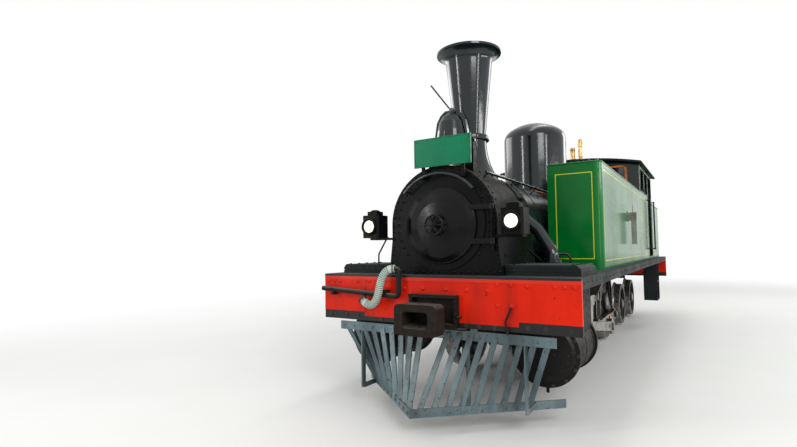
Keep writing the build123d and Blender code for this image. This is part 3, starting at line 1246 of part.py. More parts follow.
def backhead_fittings():
    """Fire door, regulator, gauge glasses and dials on the firebox in the cab."""
    a = BACKHEAD_A
    door = rod_x((a, a + 40), 0, 1520, 150) + rod_x((a + 40, a + 60), 0, 1520, 20)
    regulator = rod_x((a, a + 70), 0, 2020, 34)
    regulator += Pos(x_at(a + 76), 0, z_at(2020)) * Rot(35, 0, 0) * Box(16, 420, 30)
    gauges = []
    for y in (-250, 250):
        column = rod_z(a + 45, y, (1820, 2060), 12)
        for h in (1840, 2040):
            column += rod_x((a, a + 58), y, h, 16)
        gauges.append(column)
    dial = rod_x((a, a + 50), 130, 2150, 70)
    return [door, regulator, dial] + gauges


def reversing_lever():
    a = BACKHEAD_A + 570
    floor_top = FOOTPLATE_TOP + CAB_FLOOR_THICKNESS
    stand = block((a - 160, a + 160), (-790, -760), (floor_top, floor_top + 320))
    lever = Pos(x_at(a), -752, z_at(floor_top + 420)) * Rot(0, 14, 0) * Box(40, 16, 820)
    lever -= block((a - 400, a + 400), (-790, -700), (900, floor_top + 1))
    return stand + lever


def cab_steps():
    """Two-tread steps hung below each doorway."""
    steps = []
    mid = sum(DOORWAY) / 2
    side_y = BEAM_WIDTH / 2 - 12
    for a in (mid - 230, mid + 218):
        steps.append(block((a, a + 12), (side_y - 230, side_y), (450, FRAME_TOP)))
    whole = steps[0] + steps[1]
    for h in (450, 790):
        whole += block((mid - 230, mid + 230), (side_y - 230, side_y), (h, h + 14))
    return both(whole)


# Rails, pipes and the hose

def handrails():
    """Boiler rails on stanchions and the curved rail over the smokebox door."""
    rails = []
    for side in (1, -1):
        angle = radians(52)
        r = SMOKEBOX_R + 55
        y = side * r * cos(angle)
        h = BOILER_AXIS + r * sin(angle)
        rail = rod_x((370, DOME_A - DOME_R - 70), y, h, 14)
        for a in (400, 1130, 1870, 2610):
            inner = (SMOKEBOX_R if a < SMOKEBOX_REAR_A else BOILER_R) + SEAT_GAP
            y0, h0 = side * inner * cos(angle), BOILER_AXIS + inner * sin(angle)
            rail += tube(((a, y0, h0), (a, y, h)), 11, [])
        rails.append(rail)
    r = DOOR_SEAT_R + 22
    a = SMOKEBOX_FRONT_A - FRONT_PLATE_THICKNESS - 76
    points = [(x_at(a), r * cos(radians(t)), z_at(BOILER_AXIS + r * sin(radians(t)))) for t in (40, 90, 140)]
    arc = ThreePointArc(*points)
    arc_rail = sweep(Plane(origin=arc @ 0, z_dir=arc % 0) * Circle(12), path=arc)
    for t in (42, 90, 138):
        y, h = r * cos(radians(t)), BOILER_AXIS + r * sin(radians(t))
        arc_rail += rod_x((a, SMOKEBOX_FRONT_A - FRONT_PLATE_THICKNESS), y, h, 10)
    rails.append(arc_rail)
    return rails


def cab_handrails():
    """Upright rails beside each doorway."""
    rails = []
    y = TANK_OUTER_Y + 45
    for a in (DOORWAY[0] - 45, DOORWAY[1] + 45):
        rail = rod_z(a, y, (1400, 2350), 14)
        for h in (1420, 2330):
            rail += rod_y(a, (TANK_OUTER_Y, y), h, 11)
        rails += both(rail)
    return rails


PIPE_R = 24
PIPE_ELBOW = 37
PIPE_LOW_H = 1036
PIPE_END_Y = -(BEAM_WIDTH / 2 - 12)
PIPE_END_H = 1088
HOSE_R = 37
HOSE_ELBOW_Y = -372
HOSE_TOP = 1290
HOSE_ROUTE = (
    # a, y, h along the middle of the hose
    (-62, HOSE_ELBOW_Y, HOSE_TOP), (-75, -412, HOSE_TOP), (-92, -455, 1262), (-104, -487, 1205),
    (-110, -505, 1135), (-112, -520, 1065), (-110, -545, 1000), (-104, -585, 960), (-96, -635, 950),
    (-88, -685, 968), (-82, -715, 992),
)


def bend_radii(points):
    """Radius at each inner point: 0.45 of the shorter run over the tangent of half the turn."""
    radii = []
    for before, here, after in zip(points, points[1:], points[2:]):
        run_in = Vector(*here) - Vector(*before)
        run_out = Vector(*after) - Vector(*here)
        half_turn = radians(run_in.get_angle(run_out) / 2)
        radii.append(0.45 * min(run_in.length, run_out.length) / tan(half_turn))
    return radii


def vacuum_pipe():
    """Train pipe across the right half of the beam, its riser, and the blank that holds the hose's free end."""
    first = Vector(*HOSE_ROUTE[1]) - Vector(*HOSE_ROUTE[0])
    elbow = Vector(*HOSE_ROUTE[0]) - first * (PIPE_ELBOW / abs(first.Y))
    pipe = tube(((elbow.X, PIPE_END_Y, PIPE_END_H), (elbow.X, elbow.Y, PIPE_LOW_H), (elbow.X, elbow.Y, elbow.Z),
                 HOSE_ROUTE[0]), PIPE_R, [46, PIPE_ELBOW - 3])
    for y, beam_face in ((-1100, -BEAM_PATCH), (-480, 0)):
        pipe += block((elbow.X - PIPE_R - 2, beam_face), (y - 14, y + 14), (PIPE_LOW_H - 8, PIPE_END_H + 8))
    before, end = Vector(*HOSE_ROUTE[-2]), Vector(*HOSE_ROUTE[-1])
    run = (end - before).normalized()
    face = Plane(origin=(x_at(end.X), end.Y, z_at(end.Z)), z_dir=(-run.X, run.Y, run.Z))
    blank = extrude(face * Circle(HOSE_R + 6), amount=12)
    lug = block((end.X - 6, elbow.X), (end.Y - 2, end.Y + 14), (end.Z + 26, PIPE_LOW_H + 12))
    return pipe + blank + lug


def vacuum_hose():
    radii = bend_radii(HOSE_ROUTE)
    print("hose bend radii", [round(r) for r in radii])
    return tube(HOSE_ROUTE, HOSE_R, radii)


def wheelset(a):
    """Axle, both spoked wheels and their crank pins."""
    pin_end = LONG_PIN_END if a == COUPLED_AXLES_A[1] else SHORT_PIN_END
    return [axle(a, AXLE_H, AXLE_JOURNAL_R, AXLE_SEAT_R)] + coupled_wheels(a) + crank_pins(a, pin_end)


def bogie_wheelset(a):
    return [axle(a, BOGIE_AXLE_H, BOGIE_JOURNAL_R, BOGIE_SEAT_R)] + bogie_wheels(a)


def all_windows():
    front_frames, front_panes = window_parts(CAB_FRONT_A, -1)
    rear_frames, rear_panes = window_parts(CAB_REAR_A, 1)
    return front_frames + rear_frames, front_panes + rear_panes


NODES = {
    "main_frame": lambda: main_frame() + frame_stretchers() + [bogie_bolster()],
    "running_boards": running_boards,
    "end_platforms": end_platforms,
    "front_buffer_beam": lambda: buffer_beam(True),
    "rear_buffer_beam": lambda: buffer_beam(False),
    "beam_angles": lambda: beam_angles(True) + beam_angles(False),
    "front_coupler": coupler,
    "rear_coupler": lambda: turned_round(coupler()),
    "cowcatcher": cowcatcher,
    "axle_boxes": axle_boxes,
    "springs": springs,
    "brake_gear": brake_gear,
    "left_cylinder": cylinder,
    "right_cylinder": lambda: mirrored(cylinder()),
    "slide_bars": lambda: both(slide_bars()),
    "left_crosshead": lambda: crosshead(1),
    "right_crosshead": lambda: crosshead(-1),
    "left_connecting_rod": lambda: connecting_rod(1),
    "right_connecting_rod": lambda: connecting_rod(-1),
    "left_coupling_rod": lambda: coupling_rod(1),
    "right_coupling_rod": lambda: coupling_rod(-1),
    "leading_wheelset": lambda: wheelset(COUPLED_AXLES_A[0]),
    "driving_wheelset": lambda: wheelset(COUPLED_AXLES_A[1]),
    "trailing_wheelset": lambda: wheelset(COUPLED_AXLES_A[2]),
    "bogie_frame": bogie_frame,
    "front_bogie_wheelset": lambda: bogie_wheelset(BOGIE_AXLES_A[0]),
    "rear_bogie_wheelset": lambda: bogie_wheelset(BOGIE_AXLES_A[1]),
    "smokebox": smokebox,
    "smokebox_saddle": smokebox_saddle,
    "smokebox_door": smokebox_door,
    "boiler": boiler,
    "chimney": chimney,
    "steam_dome": steam_dome,
    "safety_valve": lambda: [safety_valve(), whistle()],
    "valve_chest_covers": valve_chest_covers,
    "steam_pipes": steam_pipes,
    "name_board": name_board,
    "front_brackets": lambda: [bell_bracket(), door_hinge_rod()] + board_brackets(),
    "bell": bell,
    "marker_lamps": lambda: marker_lamps() + lamp_lenses(),
    "left_side_tank": side_tank,
    "right_side_tank": lambda: mirrored(side_tank()),
    "left_tank_lid": tank_lid,
    "right_tank_lid": lambda: mirrored(tank_lid()),
    "tank_bracket": tank_bracket,
    "cab_front": cab_front,
    "cab_rear": cab_rear,
    "left_cab_side": cab_side,
    "right_cab_side": lambda: mirrored(cab_side()),
    "cab_roof": cab_roof,
    "cab_floor": cab_floor,
    "coal_bunker": coal_bunker,
    "backhead_fittings": lambda: backhead_fittings() + [reversing_lever()],
    "cab_steps": cab_steps,
    "window_frames": lambda: all_windows()[0],
    "window_glass": lambda: all_windows()[1],
    "handrails": lambda: handrails() + cab_handrails(),
    "vacuum_pipe": vacuum_pipe,
    "vacuum_hose": vacuum_hose,
}

os.makedirs("parts", exist_ok=True)
for node, make in NODES.items():
    save(node, make())
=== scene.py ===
# %% [markdown]
# # A side-tank steam locomotive
#
# Every CAD node already sits where it belongs, in metres, with +X forward, +Y to the left and
# +Z up. This notebook leaves those shapes alone and adds what makes them look like a
# locomotive: paint and grime, rivets and bolts, lining, lamps, a ribbed hose and a plain studio
# around it all.

# %% Load the locomotive
from math import asin, cos, pi, radians, sin, sqrt

import bmesh
import bpy
from mathutils import Matrix, Vector


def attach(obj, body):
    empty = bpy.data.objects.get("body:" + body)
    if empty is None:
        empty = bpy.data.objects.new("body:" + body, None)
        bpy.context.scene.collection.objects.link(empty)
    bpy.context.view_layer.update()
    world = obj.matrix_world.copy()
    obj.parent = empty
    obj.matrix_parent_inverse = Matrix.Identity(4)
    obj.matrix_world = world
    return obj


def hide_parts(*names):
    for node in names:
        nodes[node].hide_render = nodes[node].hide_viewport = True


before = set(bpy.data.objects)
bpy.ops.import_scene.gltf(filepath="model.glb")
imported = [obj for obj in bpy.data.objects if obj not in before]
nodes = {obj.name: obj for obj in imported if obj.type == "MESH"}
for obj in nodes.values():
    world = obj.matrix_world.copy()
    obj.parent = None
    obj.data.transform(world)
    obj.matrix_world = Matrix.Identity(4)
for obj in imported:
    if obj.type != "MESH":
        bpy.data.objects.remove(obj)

scene = bpy.context.scene
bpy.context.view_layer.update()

# %% [markdown]
# Measuring on a locomotive is easiest from its front beam and from the rail top. `spot` turns such
# a measure into a point of the scene: a is the distance behind the beam's face, y the distance to
# the left of the middle and h the height above the rail, all in millimetres. Most pieces come in
# pairs, so y is often multiplied by a side: 1 is the left and -1 the right.

# %% Places on the locomotive
BEAM_FACE_X, RAIL_TOP_Z = 4.350, 0.028
FORWARD, BACKWARD, UP = Vector((1, 0, 0)), Vector((-1, 0, 0)), Vector((0, 0, 1))
SIDES = (1, -1)
BEAM_HALF, REAR_BEAM_A = 1250, 8800
SHEET_Y = 1140          # outer face of the tanks, the cab and the bunker
BUNKER_REAR_A = 8560
AXIS_H = 1700           # middle of the boiler and the smokebox


def spot(a, y, h):
    return Vector((BEAM_FACE_X - a / 1000, y / 1000, RAIL_TOP_Z + h / 1000))


def sideways(side):
    return Vector((0, side, 0))


print("the front beam's left end is at", spot(0, BEAM_HALF, 0))

# %% [markdown]
# ## Camera
#
# The picture was taken standing close to the front left corner with a wide lens held almost level.
# A camera is placed by a matrix whose columns are its right, its up and its backward direction, so
# the three angles of the shot are written out and turned into those columns.

# %% Camera at the photograph's viewpoint
EYE = Vector((8.191, 2.055, 1.495))
TURN, PITCH, ROLL = radians(32.18), radians(3.02), radians(-0.72)
FOCAL_PIXELS, PICTURE_WIDTH, SENSOR_WIDTH = 489.3, 797, 36

ahead = Vector((-cos(TURN) * cos(PITCH), -sin(TURN) * cos(PITCH), sin(PITCH)))
level_right = ahead.cross(UP).normalized()
level_up = level_right.cross(ahead)
right = level_right * cos(ROLL) + level_up * sin(ROLL)
up = level_up * cos(ROLL) - level_right * sin(ROLL)
camera_data = bpy.data.cameras.new("camera")
camera_data.sensor_width = SENSOR_WIDTH
camera_data.lens = FOCAL_PIXELS / PICTURE_WIDTH * SENSOR_WIDTH
camera = bpy.data.objects.new("camera", camera_data)
scene.collection.objects.link(camera)
axes = Matrix((right, up, -ahead)).transposed().to_4x4()
camera.matrix_world = Matrix.Translation(EYE) @ axes
scene.camera = camera
print("lens", round(camera_data.lens, 2), "mm")

# %% [markdown]
# ## A way to write node trees
#
# Materials and Geometry Nodes are both graphs. One small helper adds a node, sets its properties
# and fills its sockets, either with a value or with a link to another node's output. Short names
# for the nodes used most keep the trees readable. A colour is written as it looks on a screen and
# turned into the linear numbers that Blender calculates with.

# %% Node and colour helpers
def put(tree, kind, settings=None, **sockets):
    """Adds a node. A socket is given by its name, or as i and its number where names repeat."""
    node = tree.nodes.new(kind)
    for key, value in (settings or {}).items():
        setattr(node, key, value)
    for key, value in sockets.items():
        numbered = key[0] == "i" and key[1:].isdigit()
        socket = node.inputs[int(key[1:])] if numbered else node.inputs[key.replace("_", " ")]
        if isinstance(value, bpy.types.NodeSocket):
            tree.links.new(value, socket)
        else:
            socket.default_value = value
    return node


def reckon(tree, operation, first, second=0.0, **settings):
    settings["operation"] = operation
    return put(tree, "ShaderNodeMath", settings, i0=first, i1=second).outputs[0]


def times(tree, first, second):
    return reckon(tree, "MULTIPLY", first, second)


def mixed(tree, amount, first, second):
    colours = {"data_type": "RGBA"}
    return put(tree, "ShaderNodeMix", colours, i0=amount, i6=first, i7=second).outputs[2]


def span(tree, value, low, high, start=0.0, end=1.0, kind="LINEAR"):
    """Stretches what lies between low and high to run from start to end."""
    return put(tree, "ShaderNodeMapRange", {"interpolation_type": kind}, Value=value,
               From_Min=low, From_Max=high, To_Min=start, To_Max=end).outputs[0]


def object_place(tree):
    return put(tree, "ShaderNodeTexCoord").outputs["Object"]


def far_from_middle(tree, place):
    return put(tree, "ShaderNodeVectorMath", {"operation": "LENGTH"}, i0=place).outputs["Value"]


def rgb(red, green, blue):
    linear = []
    for level in (red / 255, green / 255, blue / 255):
        linear.append(level / 12.92 if level <= 0.04045 else ((level + 0.055) / 1.055) ** 2.4)
    return (*linear, 1.0)


print("mid grey on screen is", round(rgb(128, 128, 128)[0], 3), "linear")

# %% [markdown]
# ## Studio
#
# A white surround shows the shape without any scenery. A Light Path node tells the world what asks
# for its colour: the camera, a reflection or a view through glass gets white, while the light it
# sheds is a softer grey, so dark paint stays dark.

# %% World
AMBIENT = 0.55
world = bpy.data.worlds.new("studio")
world.use_nodes = True
scene.world = world
sky = world.node_tree
sky.nodes.clear()
ray = put(sky, "ShaderNodeLightPath").outputs
seen = reckon(sky, "MAXIMUM", ray["Is Camera Ray"], ray["Is Glossy Ray"])
seen = reckon(sky, "MAXIMUM", seen, ray["Is Transmission Ray"])
shade = mixed(sky, seen, (AMBIENT, AMBIENT, AMBIENT, 1), (1, 1, 1, 1))
put(sky, "ShaderNodeOutputWorld",
    Surface=put(sky, "ShaderNodeBackground", Color=shade).outputs[0])
print("world sheds", AMBIENT)

# %% [markdown]
# The floor is a wide pale disc. Near the locomotive it is a real surface that takes shadows, and
# with distance it fades into the white behind it. The fade is an oval, longer than it is wide, as
# the locomotive is, and only the camera sees it, so the floor still sends its light upward.

# %% Floor
FLOOR_RADIUS, FLOOR_ROUGHNESS, CLOUD_SCALE = 70, 0.65, 0.9
FADE_FROM, FADE_TO, OVAL = 3.5, 11.0, (0.55, 1, 1)
floor_shape = bmesh.new()
bmesh.ops.create_circle(floor_shape, cap_ends=True, segments=96, radius=FLOOR_RADIUS)
floor_mesh = bpy.data.meshes.new("floor")
floor_shape.to_mesh(floor_mesh)
floor_shape.free()
floor = bpy.data.objects.new("floor", floor_mesh)
scene.collection.objects.link(floor)
floor_finish = bpy.data.materials.new("pale_floor")
floor_finish.use_nodes = True
tree = floor_finish.node_tree
ground = tree.nodes["Principled BSDF"]
ground.inputs["Roughness"].default_value = FLOOR_ROUGHNESS
place = object_place(tree)
cloud = put(tree, "ShaderNodeTexNoise", Vector=place, Scale=CLOUD_SCALE).outputs["Fac"]
tone = mixed(tree, cloud, rgb(226, 226, 223), rgb(233, 233, 231))
tree.links.new(tone, ground.inputs["Base Color"])
oval = put(tree, "ShaderNodeMapping", Vector=place, Scale=OVAL).outputs[0]
fade = span(tree, far_from_middle(tree, oval), FADE_FROM, FADE_TO, kind="SMOOTHSTEP")
fade = times(tree, fade, put(tree, "ShaderNodeLightPath").outputs["Is Camera Ray"])
white = put(tree, "ShaderNodeEmission", Color=(1, 1, 1, 1)).outputs[0]
blend = put(tree, "ShaderNodeMixShader", i0=fade, i1=ground.outputs[0], i2=white)
tree.links.new(blend.outputs[0], tree.nodes["Material Output"].inputs["Surface"])
floor_mesh.materials.append(floor_finish)
print("floor fades from", FADE_FROM, "to", FADE_TO, "m")

# %% [markdown]
# Polished black paint shows little but reflections, so the lamps are chosen for the shapes they
# draw in it: a broad key light, narrow strips that make the bright upright lines on chimney and
# dome, and softer panels for the sides, the back and the roof.

# %% Lamps
LAMPS = (
    # name, place, aimed at, width, height, watts
    ("key", (10.5, 7.5, 7.0), (2.0, 0, 1.2), 4.5, 4.5, 520),
    ("front_strip", (9.5, -4.5, 3.4), (3.0, 0, 1.6), 0.5, 5.0, 150),
    ("corner_strip", (6.5, 8.5, 3.6), (2.0, 0, 2.0), 0.4, 5.0, 120),
    ("side_strip", (1.0, 10.0, 3.6), (1.0, 0, 1.4), 7.0, 0.8, 210),
    ("rear", (-9.0, 5.0, 6.0), (-2.0, 0, 1.4), 4.0, 4.0, 220),
    ("far_side", (0.0, -10.0, 5.5), (0.0, 0, 1.4), 7.0, 2.5, 220),
    ("overhead", (0.0, 0.0, 9.0), (0.0, 0, 0), 10.0, 1.2, 170),
)
for name, place, aim, width, height, watts in LAMPS:
    lamp = bpy.data.lights.new(name, "AREA")
    lamp.shape = "RECTANGLE"
    lamp.size, lamp.size_y, lamp.energy = width, height, watts
    holder = bpy.data.objects.new(name, lamp)
    scene.collection.objects.link(holder)
    holder.location = place
    holder.rotation_euler = (Vector(aim) - Vector(place)).to_track_quat("-Z", "Y").to_euler()
scene.view_settings.view_transform = "Standard"
print(len(LAMPS), "lamps")

# %% [markdown]
# ## Finishes
#
# Old paint is never one colour. Each finish here starts from two close tints that drift into each
# other over half a metre. Rain and oil leave streaks that run down, dust settles on what faces up,
# and small chips show the metal below. The same few layers, with other numbers, give gloss tanks, a
# sooty smokebox, dusty platforms and rusty castings, so one function makes them all. Patterns read
# Object coordinates, so they stay on the metal when it moves.

# %% Layers of a finish
GRIME, DUST = rgb(30, 26, 22), rgb(126, 120, 108)
FINE_SCALE, STREAK_SCALE, CHIP_SCALE, DENT_SCALE = 26, 6, 34, 3.2
PATCH_SCALE, PATCH_EDGES = 1.7, (0.36, 0.66)
GRAIN_DEPTH, DENT_DEPTH = 0.0015, 0.012


def noise(tree, scale, detail=3.0, stretch=(1, 1, 1), shift=(0, 0, 0)):
    place = put(tree, "ShaderNodeMapping", Vector=object_place(tree), Location=shift,
                Scale=stretch).outputs[0]
    return put(tree, "ShaderNodeTexNoise", Vector=place, Scale=scale, Detail=detail).outputs["Fac"]


def facing_up(tree):
    normal = put(tree, "ShaderNodeNewGeometry").outputs["Normal"]
    return put(tree, "ShaderNodeSeparateXYZ", Vector=normal).outputs["Z"]


def set_constants(shader, **values):
    for label, value in values.items():
        shader.inputs[label.replace("_", " ")].default_value = value


def finish(name, tint, shade, gloss, metal=0.0, dust=0.0, dust_tint=DUST, streaks=0.0, chips=0.0,
           bare=GRIME, patch=PATCH_SCALE, dents=0.0, grain=0.25, shine=0.35):
    """A material. Tint and shade are its two tones, gloss its roughness (0 is a mirror) and shine
    how strongly it reflects. Dust, streaks, chips, dents and grain say how much of each layer."""
    material = bpy.data.materials.new(name)
    material.use_nodes = True
    tree = material.node_tree
    shader = tree.nodes["Principled BSDF"]
    broad, fine = noise(tree, patch), noise(tree, FINE_SCALE, 5)
    colour = mixed(tree, span(tree, broad, *PATCH_EDGES), tint, shade)
    if streaks:
        runs = noise(tree, STREAK_SCALE, 4, stretch=(1, 1, 0.1))
        colour = mixed(tree, span(tree, runs, 0.5, 0.78, 0, streaks), colour, GRIME)
    if dust:
        lying = span(tree, facing_up(tree), 0.2, 0.95, 0, dust)
        settled = times(tree, lying, span(tree, fine, 0.25, 0.6, 0.5, 1))
        colour = mixed(tree, settled, colour, dust_tint)
    if chips:
        flakes = noise(tree, CHIP_SCALE, 6, shift=(3, 1, 2))
        worn = span(tree, flakes, 0.74 - 0.2 * chips, 0.78 - 0.2 * chips)
        colour = mixed(tree, worn, colour, bare)
    tree.links.new(colour, shader.inputs["Base Color"])
    roughest = min(1.0, gloss * 1.35 + 0.03)
    matt = span(tree, times(tree, broad, fine), 0.12, 0.42, gloss * 0.75, roughest)
    if dust:
        matt = reckon(tree, "ADD", matt, times(tree, settled, 0.7), use_clamp=True)
    tree.links.new(matt, shader.inputs["Roughness"])
    set_constants(shader, Metallic=metal, Specular_IOR_Level=shine)
    surface = put(tree, "ShaderNodeBump", Strength=grain, Distance=GRAIN_DEPTH,
                  Height=fine).outputs[0]
    if dents:
        surface = put(tree, "ShaderNodeBump", Strength=dents, Distance=DENT_DEPTH,
                      Height=noise(tree, DENT_SCALE, 2), Normal=surface).outputs[0]
    tree.links.new(surface, shader.inputs["Normal"])
    return material


print("a finish has up to five layers")

# %% [markdown]
# The tanks are glossy green and nearly clean. The many blacks differ as they do on the real thing:
# the boiler is polished, the smokebox is sooty and dull, and frames and castings are rusty. The
# polished black's two tones are tinted blue, and that blue is a painted reflection of a sky-lit
# roof.

# %% Paints and metals
beam_red = finish("beam_red", rgb(210, 34, 8), rgb(188, 26, 6), 0.36, dust=0.2, streaks=0.4,
                  chips=0.35, bare=rgb(70, 26, 20), dents=0.25, shine=0.12)
tank_green = finish("tank_green", rgb(0, 104, 38), rgb(0, 88, 32), 0.17, dust=0.35,
                    dust_tint=rgb(70, 104, 74), streaks=0.12, dents=0.12, grain=0.06, shine=0.22)
board_green = finish("board_green", rgb(10, 112, 76), rgb(4, 96, 64), 0.32, streaks=0.25,
                     chips=0.25, shine=0.15)
smokebox_black = finish("smokebox_black", rgb(13, 14, 15), rgb(7, 7, 8), 0.38, dust=0.45,
                        dust_tint=rgb(70, 68, 60), streaks=0.3, chips=0.2, bare=rgb(46, 38, 32),
                        dents=0.2, shine=0.07)
door_black = finish("door_black", rgb(9, 9, 10), rgb(5, 5, 6), 0.22, dust=0.2,
                    dust_tint=rgb(60, 58, 52), dents=0.15, grain=0.1, shine=0.17)
# the blue in these two tones is a painted reflection of a sky-lit roof, not the paint's own colour
reflection_tinted_black = finish("reflection_tinted_black", rgb(18, 27, 30), rgb(10, 15, 18), 0.12, dust=0.25,
                      dust_tint=rgb(62, 66, 66), streaks=0.08, dents=0.15, grain=0.08, shine=0.48)
platform_black = finish("platform_black", rgb(32, 37, 38), rgb(22, 26, 27), 0.5, dust=0.6,
                        dust_tint=rgb(76, 84, 80), streaks=0.2, chips=0.3, bare=rgb(74, 66, 56),
                        shine=0.12)
frame_black = finish("frame_black", rgb(28, 27, 27), rgb(18, 17, 16), 0.55, dust=0.7,
                     streaks=0.5, chips=0.45, bare=rgb(66, 46, 34), dents=0.15, shine=0.14)
catcher_grey = finish("catcher_grey", rgb(98, 117, 122), rgb(67, 80, 84), 0.4, metal=0.35,
                      dust=0.4, streaks=0.5, chips=0.55, bare=rgb(72, 48, 36))
rusty_cast = finish("rusty_cast", rgb(22, 19, 17), rgb(38, 28, 23), 0.72, dust=0.4, streaks=0.3,
                    chips=0.45, bare=rgb(64, 42, 30), patch=7, dents=0.5, grain=0.9, shine=0.15)
rod_steel = finish("rod_steel", rgb(168, 166, 160), rgb(118, 112, 104), 0.3, metal=1.0,
                   streaks=0.35, chips=0.25, bare=rgb(70, 52, 38), patch=5)
brass = finish("brass", rgb(190, 154, 100), rgb(142, 108, 66), 0.26, metal=1.0, streaks=0.2,
               patch=6)
copper = finish("copper", rgb(196, 108, 58), rgb(150, 78, 42), 0.3, metal=1.0, streaks=0.3,
                patch=8)
lining_yellow = finish("lining_yellow", rgb(192, 200, 50), rgb(176, 184, 42), 0.35, streaks=0.12)
dark_bolt = finish("dark_bolt", rgb(34, 33, 33), rgb(50, 42, 36), 0.5, dust=0.4, chips=0.3,
                   bare=rgb(80, 56, 40), shine=0.3)
gauge_white = finish("gauge_white", rgb(232, 228, 214), rgb(220, 214, 198), 0.4)
print(len(bpy.data.materials), "materials so far")

# %% [markdown]
# Some finishes need more than tones, so they start from `finish` and change the colour that
# reaches the shader. A wheel is painted up to its tyre and bright where it rolls, which depends on
# the distance from its axle: a Mapping node moves the axle to the middle, a second one flattens the
# place onto the wheel's plane, and the length of what remains is that distance.

# %% Wheel paint
TYRE_DEPTH, TREAD_DEPTH = 0.061, 0.005


def opened(material):
    """A finish's tree, its shader and the colour that reaches the shader so far."""
    tree = material.node_tree
    shader = tree.nodes["Principled BSDF"]
    return tree, shader, shader.inputs["Base Color"].links[0].from_socket


def wheel_finish(name, a, tread):
    """Wheel paint inside the tyre, darker tyre sides and a bright rolling edge."""
    material = finish(name, rgb(22, 22, 24), rgb(15, 15, 16), 0.34, dust=0.35, streaks=0.3,
                      chips=0.35, bare=rgb(64, 46, 34))
    tree, shader, painted = opened(material)
    place = put(tree, "ShaderNodeMapping", Vector=object_place(tree), Location=-spot(a, 0, tread))
    place = put(tree, "ShaderNodeMapping", Vector=place.outputs[0], Scale=(1, 0, 1)).outputs[0]
    radius = far_from_middle(tree, place)
    edge = tread / 1000
    tyre = span(tree, radius, edge - TYRE_DEPTH - 0.002, edge - TYRE_DEPTH)
    colour = mixed(tree, tyre, painted, rgb(44, 42, 40))
    rolled = span(tree, radius, edge - TREAD_DEPTH - 0.003, edge - TREAD_DEPTH)
    scuffs = span(tree, noise(tree, 18), 0.4, 0.7)
    scuffed = mixed(tree, scuffs, rgb(150, 148, 144), rgb(96, 84, 72))
    tree.links.new(mixed(tree, rolled, colour, scuffed), shader.inputs["Base Color"])
    tree.links.new(rolled, shader.inputs["Metallic"])
    return material


print("wheels are bright within", TREAD_DEPTH, "m of their tread")

# %% [markdown]
# The angle under the footplate's edge is black, but the band that lies before the beam was painted
# red with it, so that finish asks for the height. The cab floor's boards run along the cab: a wave
# texture draws the joints between them as thin dark bands.

# %% Angle paint and floor boards
RED_BAND_H = (1150, 1210)


def angle_paint():
    material = finish("angle_paint", rgb(30, 30, 31), rgb(20, 19, 19), 0.45, dust=0.5,
                      streaks=0.3, chips=0.4, bare=rgb(62, 44, 34), shine=0.25)
    tree, shader, black = opened(material)
    height = put(tree, "ShaderNodeSeparateXYZ", Vector=object_place(tree)).outputs["Z"]
    low, high = RED_BAND_H
    above = span(tree, height, spot(0, 0, low).z, spot(0, 0, low + 1).z)
    below = span(tree, height, spot(0, 0, high - 1).z, spot(0, 0, high).z, 1, 0)
    patches = span(tree, noise(tree, PATCH_SCALE), *PATCH_EDGES)
    red = mixed(tree, patches, rgb(206, 40, 16), rgb(184, 30, 13))
    tree.links.new(mixed(tree, times(tree, above, below), black, red),
                   shader.inputs["Base Color"])
    return material


def floor_boards():
    material = finish("floor_boards", rgb(86, 68, 50), rgb(60, 48, 38), 0.7, dust=0.5,
                      streaks=0.2, patch=4)
    tree, shader, worn = opened(material)
    bands = put(tree, "ShaderNodeTexWave", {"bands_direction": "Y"}, Vector=object_place(tree),
                Scale=2.2, Distortion=0.0).outputs["Fac"]
    joints = span(tree, bands, 0.0, 0.04, 1, 0)
    tree.links.new(mixed(tree, joints, worn, GRIME), shader.inputs["Base Color"])
    return material


angle_black, boards = angle_paint(), floor_boards()
print("red between", RED_BAND_H, "mm")

# %% [markdown]
# Window glass lets light through and is a little smeared. The lamps' lenses glow by themselves.
# The hose is pale rubber with painted shade in its grooves: the tree that makes its ribs writes how
# deep each point lies into an attribute called groove, and the material reads it back and darkens
# the grooves with it.

# %% Glass, lamp light and rubber
def clear_glass():
    material = bpy.data.materials.new("window_glass")
    material.use_nodes = True
    tree = material.node_tree
    shader = tree.nodes["Principled BSDF"]
    smears = noise(tree, 9, 4)
    tree.links.new(mixed(tree, smears, rgb(226, 234, 232), rgb(206, 218, 214)),
                   shader.inputs["Base Color"])
    tree.links.new(span(tree, smears, 0.45, 0.75, 0.02, 0.16), shader.inputs["Roughness"])
    set_constants(shader, Transmission_Weight=1.0)
    return material


def lamp_light():
    """Warm white with a faint mottle."""
    material = finish("lamp_light", rgb(255, 246, 226), rgb(250, 236, 210), 0.12)
    tree, shader, _ = opened(material)
    glow = mixed(tree, noise(tree, 60, 2), rgb(255, 250, 238), rgb(255, 238, 208))
    tree.links.new(glow, shader.inputs["Emission Color"])
    set_constants(shader, Emission_Strength=1.0)
    return material


def hose_rubber():
    material = finish("hose_rubber", rgb(196, 210, 200), rgb(168, 188, 178), 0.5, dust=0.3,
                      dust_tint=rgb(150, 150, 138), streaks=0.25, patch=7)
    tree, shader, clean = opened(material)
    groove = put(tree, "ShaderNodeAttribute", {"attribute_name": "groove"}).outputs["Fac"]
    # painted shade: the deeper a point lies in a groove, the darker its colour
    groove_shade = span(tree, groove, 0.25, 0.9, 0, 0.9)
    tree.links.new(mixed(tree, groove_shade, clean, rgb(70, 78, 72)), shader.inputs["Base Color"])
    return material


window_clear, lens_light, mint_hose = clear_glass(), lamp_light(), hose_rubber()
print(len(bpy.data.materials), "materials without the wheels'")

# %% [markdown]
# A CAD node is a mesh with one material slot. Putting a better material in that slot is all it
# takes, and the node's shape stays untouched. Each wheelset gets a paint of its own, because its
# tyre is measured from its own axle, which stands one tread radius above the rail.

